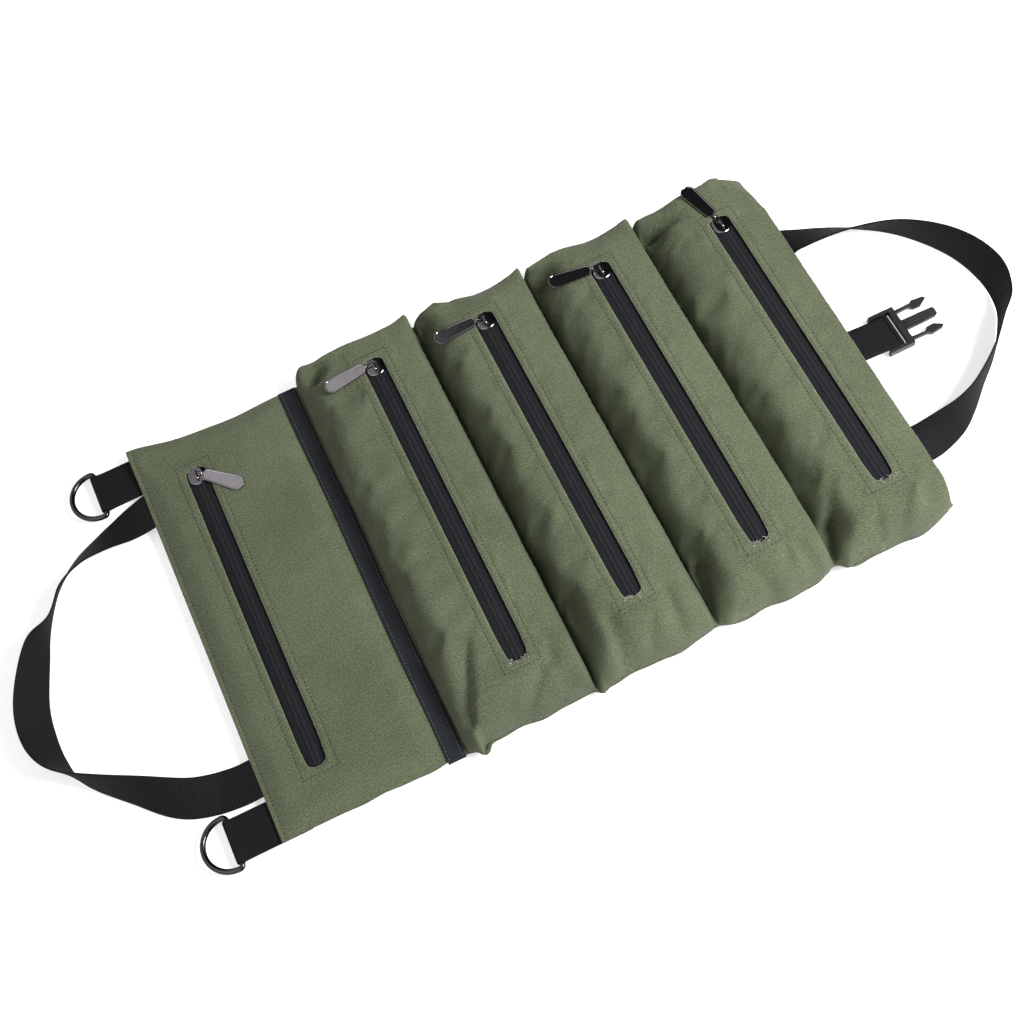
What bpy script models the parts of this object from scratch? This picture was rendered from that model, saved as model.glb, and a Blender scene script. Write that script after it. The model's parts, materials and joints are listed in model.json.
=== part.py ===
"""Zip-pocket tool roll: five pockets side by side on one canvas sheet, with handles and a buckle.

The roll lies open and flat on a floor at z = 0. The origin is the centre of the sheet's footprint.
+X runs from the D-ring end to the buckle end, +Y to the end where the closed sliders sit, +Z up.
Each pocket is a panel of its own, hinged to the next at the sewn valley between them.
"""

import math

import bmesh
import bpy
from mathutils import Matrix, Vector

# ---- driving dimensions, in metres -------------------------------------------------------------

SHEET_WIDTH = 0.355                                  # along Y
PANEL_WIDTHS = (0.153, 0.111, 0.104, 0.103, 0.106)   # along X, from the D-ring end
SHEET_LENGTH = sum(PANEL_WIDTHS)
SHEET_LEVEL = 0.010                                  # middle of the back sheet above the floor
SHEET_THICKNESS = 0.0016
CANVAS = 0.0012                                      # wall of a pocket front
GAP = 0.0003                                         # clearance between neighbouring pieces

POCKET_HEIGHTS = (0.0045, 0.034, 0.034, 0.034, 0.034)
END_FLANK = 0.020                                    # length over which a pocket's ends slope down
END_FLANK_THIN = 0.010
FLANGE = 0.003                                       # sewn rim round each pocket front

# each pocket's feet and the edges of its flat top, from the middle of its panel
POCKET_FEET = ((-0.0725, 0.0570), (-0.0510, 0.0470), (-0.0445, 0.0445), (-0.0440, 0.0435),
               (-0.0455, 0.0490))
POCKET_TOPS = ((-0.0600, 0.0470), (-0.0300, 0.0225), (-0.0140, 0.0160), (-0.0120, 0.0175),
               (-0.0120, 0.0300))

ZIP_OFFSETS = (-0.0285, 0.0105, 0.0020, 0.0045, 0.0080)   # zip line from the middle of its panel
WINDOW_WIDTH = 0.019
WINDOW_LOWS = (-0.138, -0.141, -0.135, -0.140, -0.138)
WINDOW_HIGHS = (0.144, 0.150, 0.146, 0.143, 0.135)
TAPE_THICKNESS = 0.0007
TAPE_OVERLAP = 0.003                                 # tape hidden under the canvas each side
TAPE_SPLIT = 0.0008                                  # half the clear slot between the tapes
COIL_WIDTH, COIL_HEIGHT = 0.0020, 0.0016

SLIDER_BACK = 0.0085                                 # middle of a closed slider from its window's end
SLIDER_PLACES = tuple(high - SLIDER_BACK for high in WINDOW_HIGHS)
SLIDER_LENGTH, SLIDER_WIDTH = 0.0155, 0.0150
PLATE = 0.0014
CROWN_SPAN = 0.0064                                  # between the crown's two legs
CROWN_LEG = 0.0006                                   # radius of a leg
CROWN_RISE = 0.0030
RING_WIRE = 0.0005
RING_REACH, RING_BACK, RING_HALF_WIDTH = 0.0054, 0.0016, 0.0019
PULL_ANGLES = (-43.0, -174.0, 182.0, 173.0, 105.0)   # where each pull tab points, from +X
PULL_LENGTH, PULL_WIDTH, PULL_THICKNESS = 0.0445, 0.0130, 0.0015

BAND_WIDTH, BAND_THICKNESS = 0.0150, 0.0010
BAND_RETURN = 0.018                                  # how far the band comes back underneath

D_RING_WIRE = 0.0023
D_RING_HALF_WIDTH, D_RING_DEPTH = 0.0210, 0.0245
D_RING_REACH = 0.0330                                # bar beyond the sheet's edge
D_RING_LEVEL = 0.0075
D_TAB_WIDTH = 0.035
D_TAB_CENTRES = (0.1640, -0.1595)
D_TAB_TAIL = 0.025                                   # sewn length under the sheet

WEBBING = 0.0014
HANDLE_WIDTH = 0.032
HANDLE_THICKNESS = 0.0015
HANDLE_FLOOR = 0.0015

STRAP_WIDTH = 0.030
STRAP_CENTRE = -0.010
STRAP_REACH = 0.0425                                 # male buckle's bar beyond the sheet's edge
BUCKLE_WIDTH = 0.038
BUCKLE_BAR = 0.0017                                  # radius of the bar a strap wraps round
MALE_LEVEL = 0.0050
FEMALE_LEVEL = 0.0046
FEMALE_BAR_X = 0.055                                 # female buckle's bar from the D-ring edge
FEMALE_STRAP_LENGTH = 0.022
FEMALE_HEIGHT = 0.0082

CANVAS_GREEN = (0.110, 0.135, 0.070, 1.0)
WEB_BLACK = (0.014, 0.014, 0.016, 1.0)
ZIP_BLACK = (0.018, 0.018, 0.022, 1.0)
GUNMETAL = (0.060, 0.060, 0.066, 1.0)
BUCKLE_BLACK = (0.020, 0.020, 0.022, 1.0)

# ---- derived places ----------------------------------------------------------------------------

LEFT_EDGE = -SHEET_LENGTH / 2
RIGHT_EDGE = SHEET_LENGTH / 2
FOLD_X = [LEFT_EDGE + sum(PANEL_WIDTHS[:i]) for i in range(len(PANEL_WIDTHS) + 1)]
PANEL_MID = [(FOLD_X[i] + FOLD_X[i + 1]) / 2 for i in range(len(PANEL_WIDTHS))]
SHEET_TOP = SHEET_LEVEL + SHEET_THICKNESS / 2
SHEET_BOTTOM = SHEET_LEVEL - SHEET_THICKNESS / 2
SEAT = SHEET_TOP + GAP                               # underside of every pocket front
HALF_SHEET = SHEET_WIDTH / 2


def canvas_top(index):
    """Height of the outside of pocket `index` along its flat top."""
    return SEAT + CANVAS + POCKET_HEIGHTS[index]


def tape_top(index):
    return canvas_top(index) - CANVAS - GAP


def plate_bottom(index):
    """Underside of the slider's upper plate."""
    return tape_top(index) + GAP


def ring_level(index):
    return plate_bottom(index) + PLATE + CROWN_RISE * 0.45


# ---- helpers -----------------------------------------------------------------------------------

def clear_scene():
    for obj in list(bpy.data.objects):
        bpy.data.objects.remove(obj)


def material(name, colour, roughness, metallic=0.0):
    """A plain Principled material, one for each object."""
    mat = bpy.data.materials.new(name)
    mat.use_nodes = True
    shader = mat.node_tree.nodes["Principled BSDF"]
    shader.inputs["Base Color"].default_value = colour
    shader.inputs["Roughness"].default_value = roughness
    shader.inputs["Metallic"].default_value = metallic
    mat.diffuse_color = colour
    return mat


def canvas_material(name):
    return material(name, CANVAS_GREEN, 0.9)


def webbing_material(name):
    return material(name, WEB_BLACK, 0.75)


def zip_material(name):
    return material(name, ZIP_BLACK, 0.8)


def metal_material(name):
    return material(name, GUNMETAL, 0.25, 1.0)


def plastic_material(name):
    return material(name, BUCKLE_BLACK, 0.45)


def add_object(name, mesh, origin=(0, 0, 0), turn=0.0, finish=None):
    """Link a mesh as an object whose origin sits on its joint's axis."""
    obj = bpy.data.objects.new(name, mesh)
    bpy.context.collection.objects.link(obj)
    obj.location = origin
    obj.rotation_euler = (0, 0, turn)
    if finish:
        if obj.data.materials:
            obj.material_slots[0].link = "OBJECT"
            obj.material_slots[0].material = finish(name)
        else:
            obj.data.materials.append(finish(name))
    return obj


def mesh_from_bmesh(name, bm):
    bmesh.ops.recalc_face_normals(bm, faces=bm.faces)
    mesh = bpy.data.meshes.new(name)
    bm.to_mesh(mesh)
    bm.free()
    return mesh


def prism(name, outline, low, high, axis="Z"):
    """Extrude a closed outline between two levels along an axis."""
    def place(point, level):
        a, b = point
        return {"Z": (a, b, level), "Y": (a, level, b), "X": (level, a, b)}[axis]
    bm = bmesh.new()
    lower = [bm.verts.new(place(p, low)) for p in outline]
    upper = [bm.verts.new(place(p, high)) for p in outline]
    bm.faces.new(lower)
    bm.faces.new(upper)
    for i in range(len(outline)):
        j = (i + 1) % len(outline)
        bm.faces.new((lower[i], lower[j], upper[j], upper[i]))
    return mesh_from_bmesh(name, bm)


def box(name, low, high):
    outline = [(low[0], low[1]), (high[0], low[1]), (high[0], high[1]), (low[0], high[1])]
    return prism(name, outline, low[2], high[2])


def rod(name, centre, radius, low, high, axis="Y", sides=20):
    outline = [(centre[0] + radius * math.cos(2 * math.pi * (i + 0.5) / sides),
                centre[1] + radius * math.sin(2 * math.pi * (i + 0.5) / sides))
               for i in range(sides)]
    return prism(name, outline, low, high, axis)


def combine(name, base, steps):
    """Boolean a list of ("UNION" or "DIFFERENCE", mesh) onto a base mesh and return the result."""
    host = bpy.data.objects.new(name + "_host", base)
    bpy.context.collection.objects.link(host)
    tools = []
    for index, (operation, mesh) in enumerate(steps):
        tool = bpy.data.objects.new(f"{name}_tool_{index}", mesh)
        bpy.context.collection.objects.link(tool)
        modifier = host.modifiers.new(f"step_{index}", "BOOLEAN")
        modifier.operation = operation
        modifier.object = tool
        tools.append(tool)
    bpy.context.view_layer.update()
    graph = bpy.context.evaluated_depsgraph_get()
    result = bpy.data.meshes.new_from_object(host.evaluated_get(graph))
    result.name = name
    for obj in [host] + tools:
        bpy.data.objects.remove(obj)
    return result


def moved(mesh, offset):
    mesh.transform(Matrix.Translation(Vector(offset)))
    return mesh


def skin_between(name, columns, rows, upper, lower):
    """Closed body between two height fields on a grid of columns (x) and rows (y)."""
    bm = bmesh.new()
    top = [[bm.verts.new((x, y, upper(x, y))) for y in rows] for x in columns]
    bottom = [[bm.verts.new((x, y, lower(x, y))) for y in rows] for x in columns]
    nx, ny = len(columns), len(rows)
    for i in range(nx - 1):
        for j in range(ny - 1):
            bm.faces.new((top[i][j], top[i + 1][j], top[i + 1][j + 1], top[i][j + 1]))
            bm.faces.new((bottom[i][j], bottom[i][j + 1], bottom[i + 1][j + 1], bottom[i + 1][j]))
    rim = [(i, 0) for i in range(nx)] + [(nx - 1, j) for j in range(1, ny)]
    rim += [(i, ny - 1) for i in range(nx - 2, -1, -1)] + [(0, j) for j in range(ny - 2, 0, -1)]
    for (i, j), (k, m) in zip(rim, rim[1:] + rim[:1]):
        bm.faces.new((top[i][j], bottom[i][j], bottom[k][m], top[k][m]))
    return mesh_from_bmesh(name, bm)


def smooth_spline(points, steps):
    """Catmull-Rom curve through tuples of numbers, `steps` spans for each gap."""
    padded = [points[0]] + list(points) + [points[-1]]
    result = []
    for k in range(1, len(padded) - 2):
        p0, p1, p2, p3 = (Vector(p) for p in padded[k - 1:k + 3])
        for s in range(steps):
            t = s / steps
            result.append(0.5 * (2 * p1 + (p2 - p0) * t + (2 * p0 - 5 * p1 + 4 * p2 - p3) * t ** 2
                                 + (3 * p1 - p0 - 3 * p2 + p3) * t ** 3))
    result.append(Vector(points[-1]))
    return result


# ---- the sheet and the pockets -----------------------------------------------------------------

def quarter(value):
    """Quarter ellipse from 0 at value 0 to 1 at value 1."""
    value = min(max(value, 0.0), 1.0)
    return math.sqrt(max(0.0, 1.0 - (1.0 - value) ** 2))


def make_back_panel(index):
    """One panel of the back sheet: blunt, thinned edges at the folds and a belly under a pocket."""
    half = PANEL_WIDTHS[index] / 2
    belly = SHEET_BOTTOM if index else 0.0
    fold_low = index > 0
    fold_high = index < len(PANEL_WIDTHS) - 1
    left = -half + (GAP if fold_low else 0.0)
    right = half - (GAP if fold_high else 0.0)
    thin = SHEET_THICKNESS / 2 * 1.3
    blunt = 0.0002
    inner = half - 0.004
    columns = [left, left + thin] + [inner * f for f in (-1.0, -0.95, -0.85, -0.66, 0.0)]
    columns += [-x for x in reversed(columns[2:-1])] + [right - thin, right]
    rows = [HALF_SHEET * f for f in (-1.0, -0.97, -0.92, -0.84, -0.6, 0.0)]
    rows += [-y for y in reversed(rows[:-1])]

    def sag(x, y):
        across = quarter((inner - abs(x)) / (0.34 * inner))
        along = quarter((HALF_SHEET * 0.97 - abs(y)) / (0.13 * HALF_SHEET))
        return belly * across * along

    def at_fold(x):
        return (fold_low and x == left) or (fold_high and x == right)

    def upper(x, y):
        return (blunt if at_fold(x) else SHEET_THICKNESS / 2) - sag(x, y)

    def lower(x, y):
        return (-blunt if at_fold(x) else -SHEET_THICKNESS / 2) - sag(x, y)

    name = f"back_panel_{index + 1}"
    mesh = skin_between(name, columns, rows, upper, lower)
    hinge = panel_axis(index)
    moved(mesh, (PANEL_MID[index] - hinge[0], 0, 0))
    return add_object(name, mesh, hinge, finish=canvas_material)


def panel_axis(index):
    """A point on the fold that carries the panel; the middle panel carries the rest."""
    fold = {0: 1, 1: 2, 2: None, 3: 3, 4: 4}[index]
    x = PANEL_MID[index] if fold is None else FOLD_X[fold]
    return (x, 0.0, SHEET_LEVEL)


def flank_steps(foot, top, count):
    """Places on a quarter-ellipse flank, close together where it is steep."""
    return [top + (foot - top) * math.cos(math.pi / 2 * k / count) for k in range(count + 1)]


def make_pocket_front(index):
    """Canvas shell of a pocket with the zip window cut in its flat top and an open underside."""
    name = f"pocket_{index + 1}_front"
    height = POCKET_HEIGHTS[index]
    foot_low, foot_high = POCKET_FEET[index]
    top_low, top_high = POCKET_TOPS[index]
    zip_x = ZIP_OFFSETS[index]
    end_foot = HALF_SHEET - 0.001 - FLANGE
    end_flank = END_FLANK if height > 0.01 else END_FLANK_THIN
    spans = 6 if height > 0.01 else 3
    columns = [foot_low - FLANGE] + flank_steps(foot_low, top_low, spans)
    columns += [zip_x - WINDOW_WIDTH / 2, zip_x + WINDOW_WIDTH / 2]
    columns += list(reversed(flank_steps(foot_high, top_high, spans))) + [foot_high + FLANGE]
    rows = [-end_foot - FLANGE] + flank_steps(-end_foot, -end_foot + end_flank, spans)
    rows += [WINDOW_LOWS[index], WINDOW_HIGHS[index]]
    rows += list(reversed(flank_steps(end_foot, end_foot - end_flank, spans))) + [end_foot + FLANGE]

    def rise(x, y):
        across = quarter(min((x - foot_low) / (top_low - foot_low),
                             (foot_high - x) / (foot_high - top_high)))
        along = quarter((end_foot - abs(y)) / end_flank)
        return height * across * along

    bm = bmesh.new()
    grid = [[bm.verts.new((x, y, rise(x, y))) for y in rows] for x in columns]
    window_column = columns.index(zip_x - WINDOW_WIDTH / 2)
    window_row = rows.index(WINDOW_LOWS[index])
    for i in range(len(columns) - 1):
        for j in range(len(rows) - 1):
            if (i, j) != (window_column, window_row):
                bm.faces.new((grid[i][j], grid[i + 1][j], grid[i + 1][j + 1], grid[i][j + 1]))
    mesh = bpy.data.meshes.new(name)
    bm.to_mesh(mesh)
    bm.free()
    hinge = panel_axis(index)
    moved(mesh, (PANEL_MID[index] - hinge[0], 0, SEAT + CANVAS - hinge[2]))
    obj = add_object(name, mesh, hinge, finish=canvas_material)
    shell = obj.modifiers.new("canvas", "SOLIDIFY")
    shell.thickness = CANVAS
    shell.offset = -1.0
    shell.use_even_offset = True
    return obj


def make_zip_tape(index, side):
    """Half of a zip: a flat tape with its half of the coil along the inner edge, underneath."""
    name = f"zip_{index + 1}_{'left' if side < 0 else 'right'}_tape"
    outer = WINDOW_WIDTH / 2 + TAPE_OVERLAP
    coil = TAPE_SPLIT + COIL_WIDTH
    low = -TAPE_THICKNESS - COIL_HEIGHT
    profile = [(TAPE_SPLIT, 0.0), (outer, 0.0), (outer, -TAPE_THICKNESS), (coil, -TAPE_THICKNESS),
               (coil - COIL_WIDTH * 0.2, low), (TAPE_SPLIT + COIL_WIDTH * 0.2, low),
               (TAPE_SPLIT, -TAPE_THICKNESS)]
    profile = [(side * x, z) for x, z in profile]
    end = TAPE_OVERLAP
    mesh = prism(name, profile, WINDOW_LOWS[index] - end, WINDOW_HIGHS[index] + end, "Y")
    hinge = panel_axis(index)
    zip_x = PANEL_MID[index] + ZIP_OFFSETS[index]
    moved(mesh, (zip_x - hinge[0], 0, tape_top(index) - hinge[2]))
    return add_object(name, mesh, hinge, finish=zip_material)


# ---- sliders and pulls -------------------------------------------------------------------------

def wire_mesh(name, points, radius, rings):
    """Closed round wire through points in the XY plane."""
    curve = bpy.data.curves.new(name, "CURVE")
    curve.dimensions = "3D"
    curve.bevel_depth = radius
    curve.bevel_resolution = rings
    spline = curve.splines.new("POLY")
    spline.points.add(len(points) - 1)
    for point, (x, y) in zip(spline.points, points):
        point.co = (x, y, 0.0, 1.0)
    spline.use_cyclic_u = True
    holder = bpy.data.objects.new(name + "_holder", curve)
    bpy.context.collection.objects.link(holder)
    bpy.context.view_layer.update()
    graph = bpy.context.evaluated_depsgraph_get()
    mesh = bpy.data.meshes.new_from_object(holder.evaluated_get(graph))
    bpy.data.objects.remove(holder)
    return mesh


def slider_outline(length, width):
    """Shield outline: square shoulders at the opening end and a round nose towards -Y."""
    half = width / 2
    points = [(half * 0.72, length / 2), (-half * 0.72, length / 2), (-half, length * 0.22)]
    steps = 8
    for k in range(steps + 1):
        angle = math.pi + math.pi * k / steps
        points.append((half * math.cos(angle), -length * 0.12 + length * 0.38 * math.sin(angle)))
    points.append((half, length * 0.22))
    return points


def make_slider_mesh():
    """Upper and lower plate, the post between the tapes, and the crown that holds the ring."""
    outline = slider_outline(SLIDER_LENGTH, SLIDER_WIDTH)
    lower = slider_outline(SLIDER_LENGTH * 0.94, SLIDER_WIDTH * 0.86)
    below = -GAP - TAPE_THICKNESS - COIL_HEIGHT - GAP
    leg = CROWN_SPAN / 2 + CROWN_LEG
    top = PLATE + CROWN_RISE
    inside = PLATE * 0.3
    base = prism("upper_plate", outline, 0.0, PLATE)
    steps = [("UNION", prism("lower_plate", lower, below - PLATE, below)),
             ("UNION", box("post", (-0.0005, 0.0012, below - inside), (0.0005, 0.0060, inside)))]
    for y in (-leg, leg):
        steps.append(("UNION", rod("leg", (0, y), CROWN_LEG, inside, top + inside, "Z", 10)))
    steps.append(("UNION", box("bar", (-0.0011, -leg - 0.0010, top), (0.0011, leg + 0.0010,
                                                                   top + 0.0012))))
    return combine("slider", base, steps)


def ring_loop_mesh():
    """Small wire loop: one end round the crown's leg, the other end the pull tab's pin."""
    corner = 0.0007
    points = []
    for sx, sy in ((1, 1), (-1, 1), (-1, -1), (1, -1)):
        x = RING_REACH if sx > 0 else -RING_BACK
        y = sy * RING_HALF_WIDTH
        ends = [(x, y - sy * corner), (x - sx * corner, y)]
        points += ends if sx * sy > 0 else ends[::-1]
    return wire_mesh("ring", points, RING_WIRE, 1)


def make_pull_tab_mesh():
    """Flat paddle with a round tip and a knuckle round the ring's outer end."""
    tip = PULL_LENGTH - RING_REACH
    half = PULL_WIDTH / 2
    root = 0.0036
    outline = [(0.0006, -0.0011), (root * 0.7, -0.0011), (root, -half * 0.78)]
    steps = 8
    for k in range(steps + 1):
        angle = -math.pi / 2 + math.pi * k / steps
        outline.append((tip - half + half * math.cos(angle), half * math.sin(angle)))
    outline += [(root, half * 0.78), (root * 0.7, 0.0011), (0.0006, 0.0011)]
    thick = PULL_THICKNESS / 2
    base = prism("paddle", outline, -thick, thick)
    knuckle = rod("knuckle", (0, 0), RING_WIRE + 0.0008, -0.0011, 0.0011, "Y", 14)
    bore = rod("bore", (0, 0), RING_WIRE + GAP, -0.003, 0.003, "Y", 14)
    return combine("pull_tab", base, [("UNION", knuckle), ("DIFFERENCE", bore)])


def make_zip_pulls():
    """A slider, a ring and a pull tab for each zip, the same three shapes used five times."""
    slider_mesh = make_slider_mesh()
    ring_mesh = ring_loop_mesh()
    tab_mesh = make_pull_tab_mesh()
    slider_mesh.materials.append(None)
    ring_mesh.materials.append(None)
    tab_mesh.materials.append(None)
    for index in range(len(PANEL_WIDTHS)):
        x = PANEL_MID[index] + ZIP_OFFSETS[index]
        turn = math.radians(PULL_ANGLES[index])
        leg_y = SLIDER_PLACES[index] + CROWN_SPAN / 2 + CROWN_LEG
        level = ring_level(index)
        pin = (x + RING_REACH * math.cos(turn), leg_y + RING_REACH * math.sin(turn), level)
        name = f"zip_{index + 1}"
        place = (x, SLIDER_PLACES[index], plate_bottom(index))
        add_object(name + "_slider", slider_mesh, place, 0.0, metal_material)
        add_object(name + "_pull_ring", ring_mesh, (x, leg_y, level), turn, metal_material)
        add_object(name + "_pull_tab", tab_mesh, pin, turn, metal_material)


# ---- band, handles, D-rings --------------------------------------------------------------------

def make_edge_band():
    """Black tape over the first seam, turned under the sheet at the end away from the sliders."""
    right = FOLD_X[1] - 0.0010
    left = right - BAND_WIDTH
    top = SEAT + BAND_THICKNESS
    low = SHEET_BOTTOM - GAP - BAND_THICKNESS
    end = -HALF_SHEET - GAP
    outline = [(HALF_SHEET, SEAT), (HALF_SHEET, top), (end - BAND_THICKNESS, top),
               (end - BAND_THICKNESS, low), (end + BAND_RETURN, low),
               (end + BAND_RETURN, low + BAND_THICKNESS), (end, low + BAND_THICKNESS), (end, SEAT)]
    hinge = panel_axis(0)
    mesh = prism("edge_band", outline, left, right, "X")
    moved(mesh, (-hinge[0], 0, -hinge[2]))
    return add_object("edge_band", mesh, hinge, finish=webbing_material)


def band_along(name, stations, width, thickness, leaving):
    """Flat webbing swept along stations of (x, y, z, roll in degrees).

    It leaves its first station along the direction `leaving` and comes back against it.
    """
    half, thick = width / 2, thickness / 2
    bm = bmesh.new()
    rings = []
    for k, station in enumerate(stations):
        ahead = stations[min(k + 1, len(stations) - 1)]
        behind = stations[max(k - 1, 0)]
        tangent = Vector((ahead[0] - behind[0], ahead[1] - behind[1], 0)).normalized()
        if k == 0:
            tangent = Vector(leaving)
        elif k == len(stations) - 1:
            tangent = -Vector(leaving)
        side = Vector((-tangent.y, tangent.x, 0))
        roll = math.radians(station[3])
        across = side * math.cos(roll) + Vector((0, 0, math.sin(roll)))
        face = tangent.cross(across)
        centre = Vector(station[:3])
        rings.append([bm.verts.new(centre + across * a * half + face * f * thick)
                      for a, f in ((-1, -1), (1, -1), (1, 1), (-1, 1))])
    for first, second in zip(rings, rings[1:]):
        for i in range(4):
            j = (i + 1) % 4
            bm.faces.new((first[i], first[j], second[j], second[i]))
    bm.faces.new(rings[0])
    bm.faces.new(rings[-1])
    return mesh_from_bmesh(name, bm)


def make_handle(name, edge, outward, points):
    """Webbing loop from one end edge. Each point is (reach beyond the edge, y, roll)."""
    stations = []
    for reach, y, roll in smooth_spline(points, 4):
        lift = HANDLE_WIDTH / 2 * abs(math.sin(math.radians(roll))) + HANDLE_FLOOR
        drop = min(max(reach / 0.030, 0.0), 1.0)
        level = SHEET_LEVEL + (lift - SHEET_LEVEL) * drop
        stations.append((outward * reach, y, max(level, lift) - SHEET_LEVEL, roll))
    mesh = band_along(name, stations, HANDLE_WIDTH, HANDLE_THICKNESS, (outward, 0, 0))
    return add_object(name, mesh, (edge, 0, SHEET_LEVEL), finish=webbing_material)


def make_handles():
    """Two carrying loops, standing on edge round their far bend."""
    left = [(0.0012, 0.1280, 0), (0.020, 0.1255, 12), (0.045, 0.1190, 37), (0.068, 0.1110, 53),
            (0.089, 0.0955, 65), (0.105, 0.0715, 72), (0.122, 0.0525, 108), (0.140, 0.0140, 128),
            (0.144, -0.0160, 131), (0.138, -0.0425, 114), (0.123, -0.0640, 86),
            (0.089, -0.0900, 58), (0.055, -0.1120, 22), (0.020, -0.1205, 5), (0.0012, -0.1225, 0)]
    right = [(0.0012, 0.1060, 0), (0.016, 0.1045, -36), (0.055, 0.0910, -66),
             (0.094, 0.0690, -87), (0.125, 0.0350, -111), (0.138, 0.0000, -130),
             (0.133, -0.0300, -123), (0.116, -0.0530, -101), (0.091, -0.0780, -96),
             (0.070, -0.0960, -78), (0.042, -0.1090, -58), (0.014, -0.1110, -20),
             (0.0012, -0.1100, 0)]
    make_handle("left_handle", LEFT_EDGE, -1, left)
    make_handle("right_handle", RIGHT_EDGE, 1, right)


def make_d_ring(name, centre_y):
    """D of thick wire: a straight bar in the tab's loop and an arc reaching out over the edge."""
    corner = 0.0035
    points = []
    steps = 14
    for k in range(steps + 1):
        angle = math.pi / 2 + math.pi * k / steps
        points.append((-corner + (D_RING_DEPTH - corner) * math.cos(angle),
                       D_RING_HALF_WIDTH * math.sin(angle)))
    points += [(-0.0010, -D_RING_HALF_WIDTH + 0.0009), (0.0, -D_RING_HALF_WIDTH + corner),
               (0.0, D_RING_HALF_WIDTH - corner), (-0.0010, D_RING_HALF_WIDTH - 0.0009)]
    mesh = wire_mesh(name, points, D_RING_WIRE, 2)
    origin = (LEFT_EDGE - D_RING_REACH, centre_y, D_RING_LEVEL)
    return add_object(name, mesh, origin, finish=metal_material)


def loop_tab_mesh(name, bar, tail_end, bar_radius, width):
    """Webbing folded round a bar at `bar` (x, z), its two layers sewn together at `tail_end`."""
    inner = bar_radius + GAP
    outer = inner + WEBBING
    slit = 0.00005
    bar, tail_end = Vector(bar), Vector(tail_end)
    run = (tail_end - bar).normalized()
    side = Vector((-run.y, run.x))
    neck = bar + run * outer * 2.4
    sewn = tail_end - run * WEBBING
    layers = side * (slit + WEBBING)

    def arc(radius, flip):
        steps = 12
        turns = [math.pi * (0.5 + k / steps) for k in range(steps + 1)]
        return [bar + run * radius * math.cos(t) + side * radius * math.sin(t) * flip
                for t in turns]

    outside = [tail_end + layers, neck + layers] + arc(outer, 1) + [neck - layers, tail_end - layers]
    inside = [sewn - side * slit, neck - side * slit] + arc(inner, -1)
    inside += [neck + side * slit, sewn + side * slit]
    return ring_prism(name, outside, inside, width)


def ring_prism(name, outside, inside, width):
    """Extrude along Y a profile with one hole, its caps filled between the two loops."""
    bm = bmesh.new()
    loops = []
    for level in (-width / 2, width / 2):
        rims = []
        for outline in (outside, inside):
            verts = [bm.verts.new((a, level, b)) for a, b in outline]
            edges = [bm.edges.new((verts[i - 1], verts[i])) for i in range(len(verts))]
            rims.append((verts, edges))
        bmesh.ops.triangle_fill(bm, use_beauty=True, edges=rims[0][1] + rims[1][1])
        loops.append(rims)
    for (low, _), (high, _) in zip(*loops):
        for i in range(len(low)):
            bm.faces.new((low[i - 1], low[i], high[i], high[i - 1]))
    return mesh_from_bmesh(name, bm)


def make_d_ring_tabs():
    hinge = panel_axis(0)
    for name, centre_y in zip(("upper", "lower"), D_TAB_CENTRES):
        layers = 2 * WEBBING
        bar = (LEFT_EDGE - D_RING_REACH, D_RING_LEVEL)
        tail = (LEFT_EDGE + D_TAB_TAIL, SHEET_BOTTOM - GAP - layers / 2)
        mesh = loop_tab_mesh("d_ring_tab_" + name, bar, tail, D_RING_WIRE, D_TAB_WIDTH)
        moved(mesh, (-hinge[0], centre_y, -hinge[2]))
        add_object("d_ring_tab_" + name, mesh, hinge, finish=webbing_material)
        make_d_ring("d_ring_" + name, centre_y)


# ---- side-release buckle -----------------------------------------------------------------------

LOOP_OUTER = BUCKLE_BAR + GAP + WEBBING
RAIL_INNER = STRAP_WIDTH / 2 + 0.0012
RAIL_OUTER = BUCKLE_WIDTH / 2


def make_male_buckle():
    """Rails and bar for the strap, a front crossbar and the middle prong; origin on the bar."""
    front = LOOP_OUTER + 0.0021
    nose = front + 0.005
    prong = 0.0405
    base = box("crossbar", (front, -RAIL_OUTER, -0.0028), (nose, RAIL_OUTER, 0.0028))
    steps = []
    for side in (-1, 1):
        low, high = sorted((side * RAIL_INNER, side * RAIL_OUTER))
        steps.append(("UNION", box("rail", (-0.0125, low, -0.0034), (nose - 0.001, high, 0.0034))))
    steps.append(("UNION", rod("bar", (0, 0), BUCKLE_BAR, -RAIL_INNER - 0.001, RAIL_INNER + 0.001,
                               "Y", 16)))
    tongue = [(nose - 0.002, -0.0046), (prong - 0.002, -0.0040), (prong, -0.0028),
              (prong, 0.0028), (prong - 0.002, 0.0040), (nose - 0.002, 0.0046)]
    steps.append(("UNION", prism("tongue", tongue, -0.0020, 0.0020)))
    for y in (-0.0014, 0.0014):
        groove = box("groove", (nose + 0.004, y - 0.0005, 0.0013), (prong + 0.001, y + 0.0005,
                                                                    0.0030))
        steps.append(("DIFFERENCE", groove))
    mesh = combine("buckle_male", base, steps)
    origin = (RIGHT_EDGE + STRAP_REACH, STRAP_CENTRE, MALE_LEVEL)
    add_object("buckle_male", mesh, origin, finish=plastic_material)
    for name, side in (("upper", 1), ("lower", -1)):
        make_latch_arm("buckle_latch_" + name, side, origin, nose)


def make_latch_arm(name, side, origin, nose):
    """Springy arm with a barbed head; origin where it flexes, beside the crossbar."""
    root = (0.0004, 0.0140)
    points = [(0.0, -0.0014), (0.0120, -0.0006), (0.0150, -0.0036), (0.0215, -0.0040),
              (0.0285, 0.0004), (0.0270, 0.0022), (0.0165, 0.0034), (0.0140, 0.0014),
              (0.0, 0.0014)]
    outline = [(x, side * y) for x, y in points]
    mesh = prism(name, outline, -0.0019, 0.0019)
    place = (origin[0] + nose + root[0], origin[1] + side * root[1], origin[2])
    add_object(name, mesh, place, finish=plastic_material)


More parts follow.
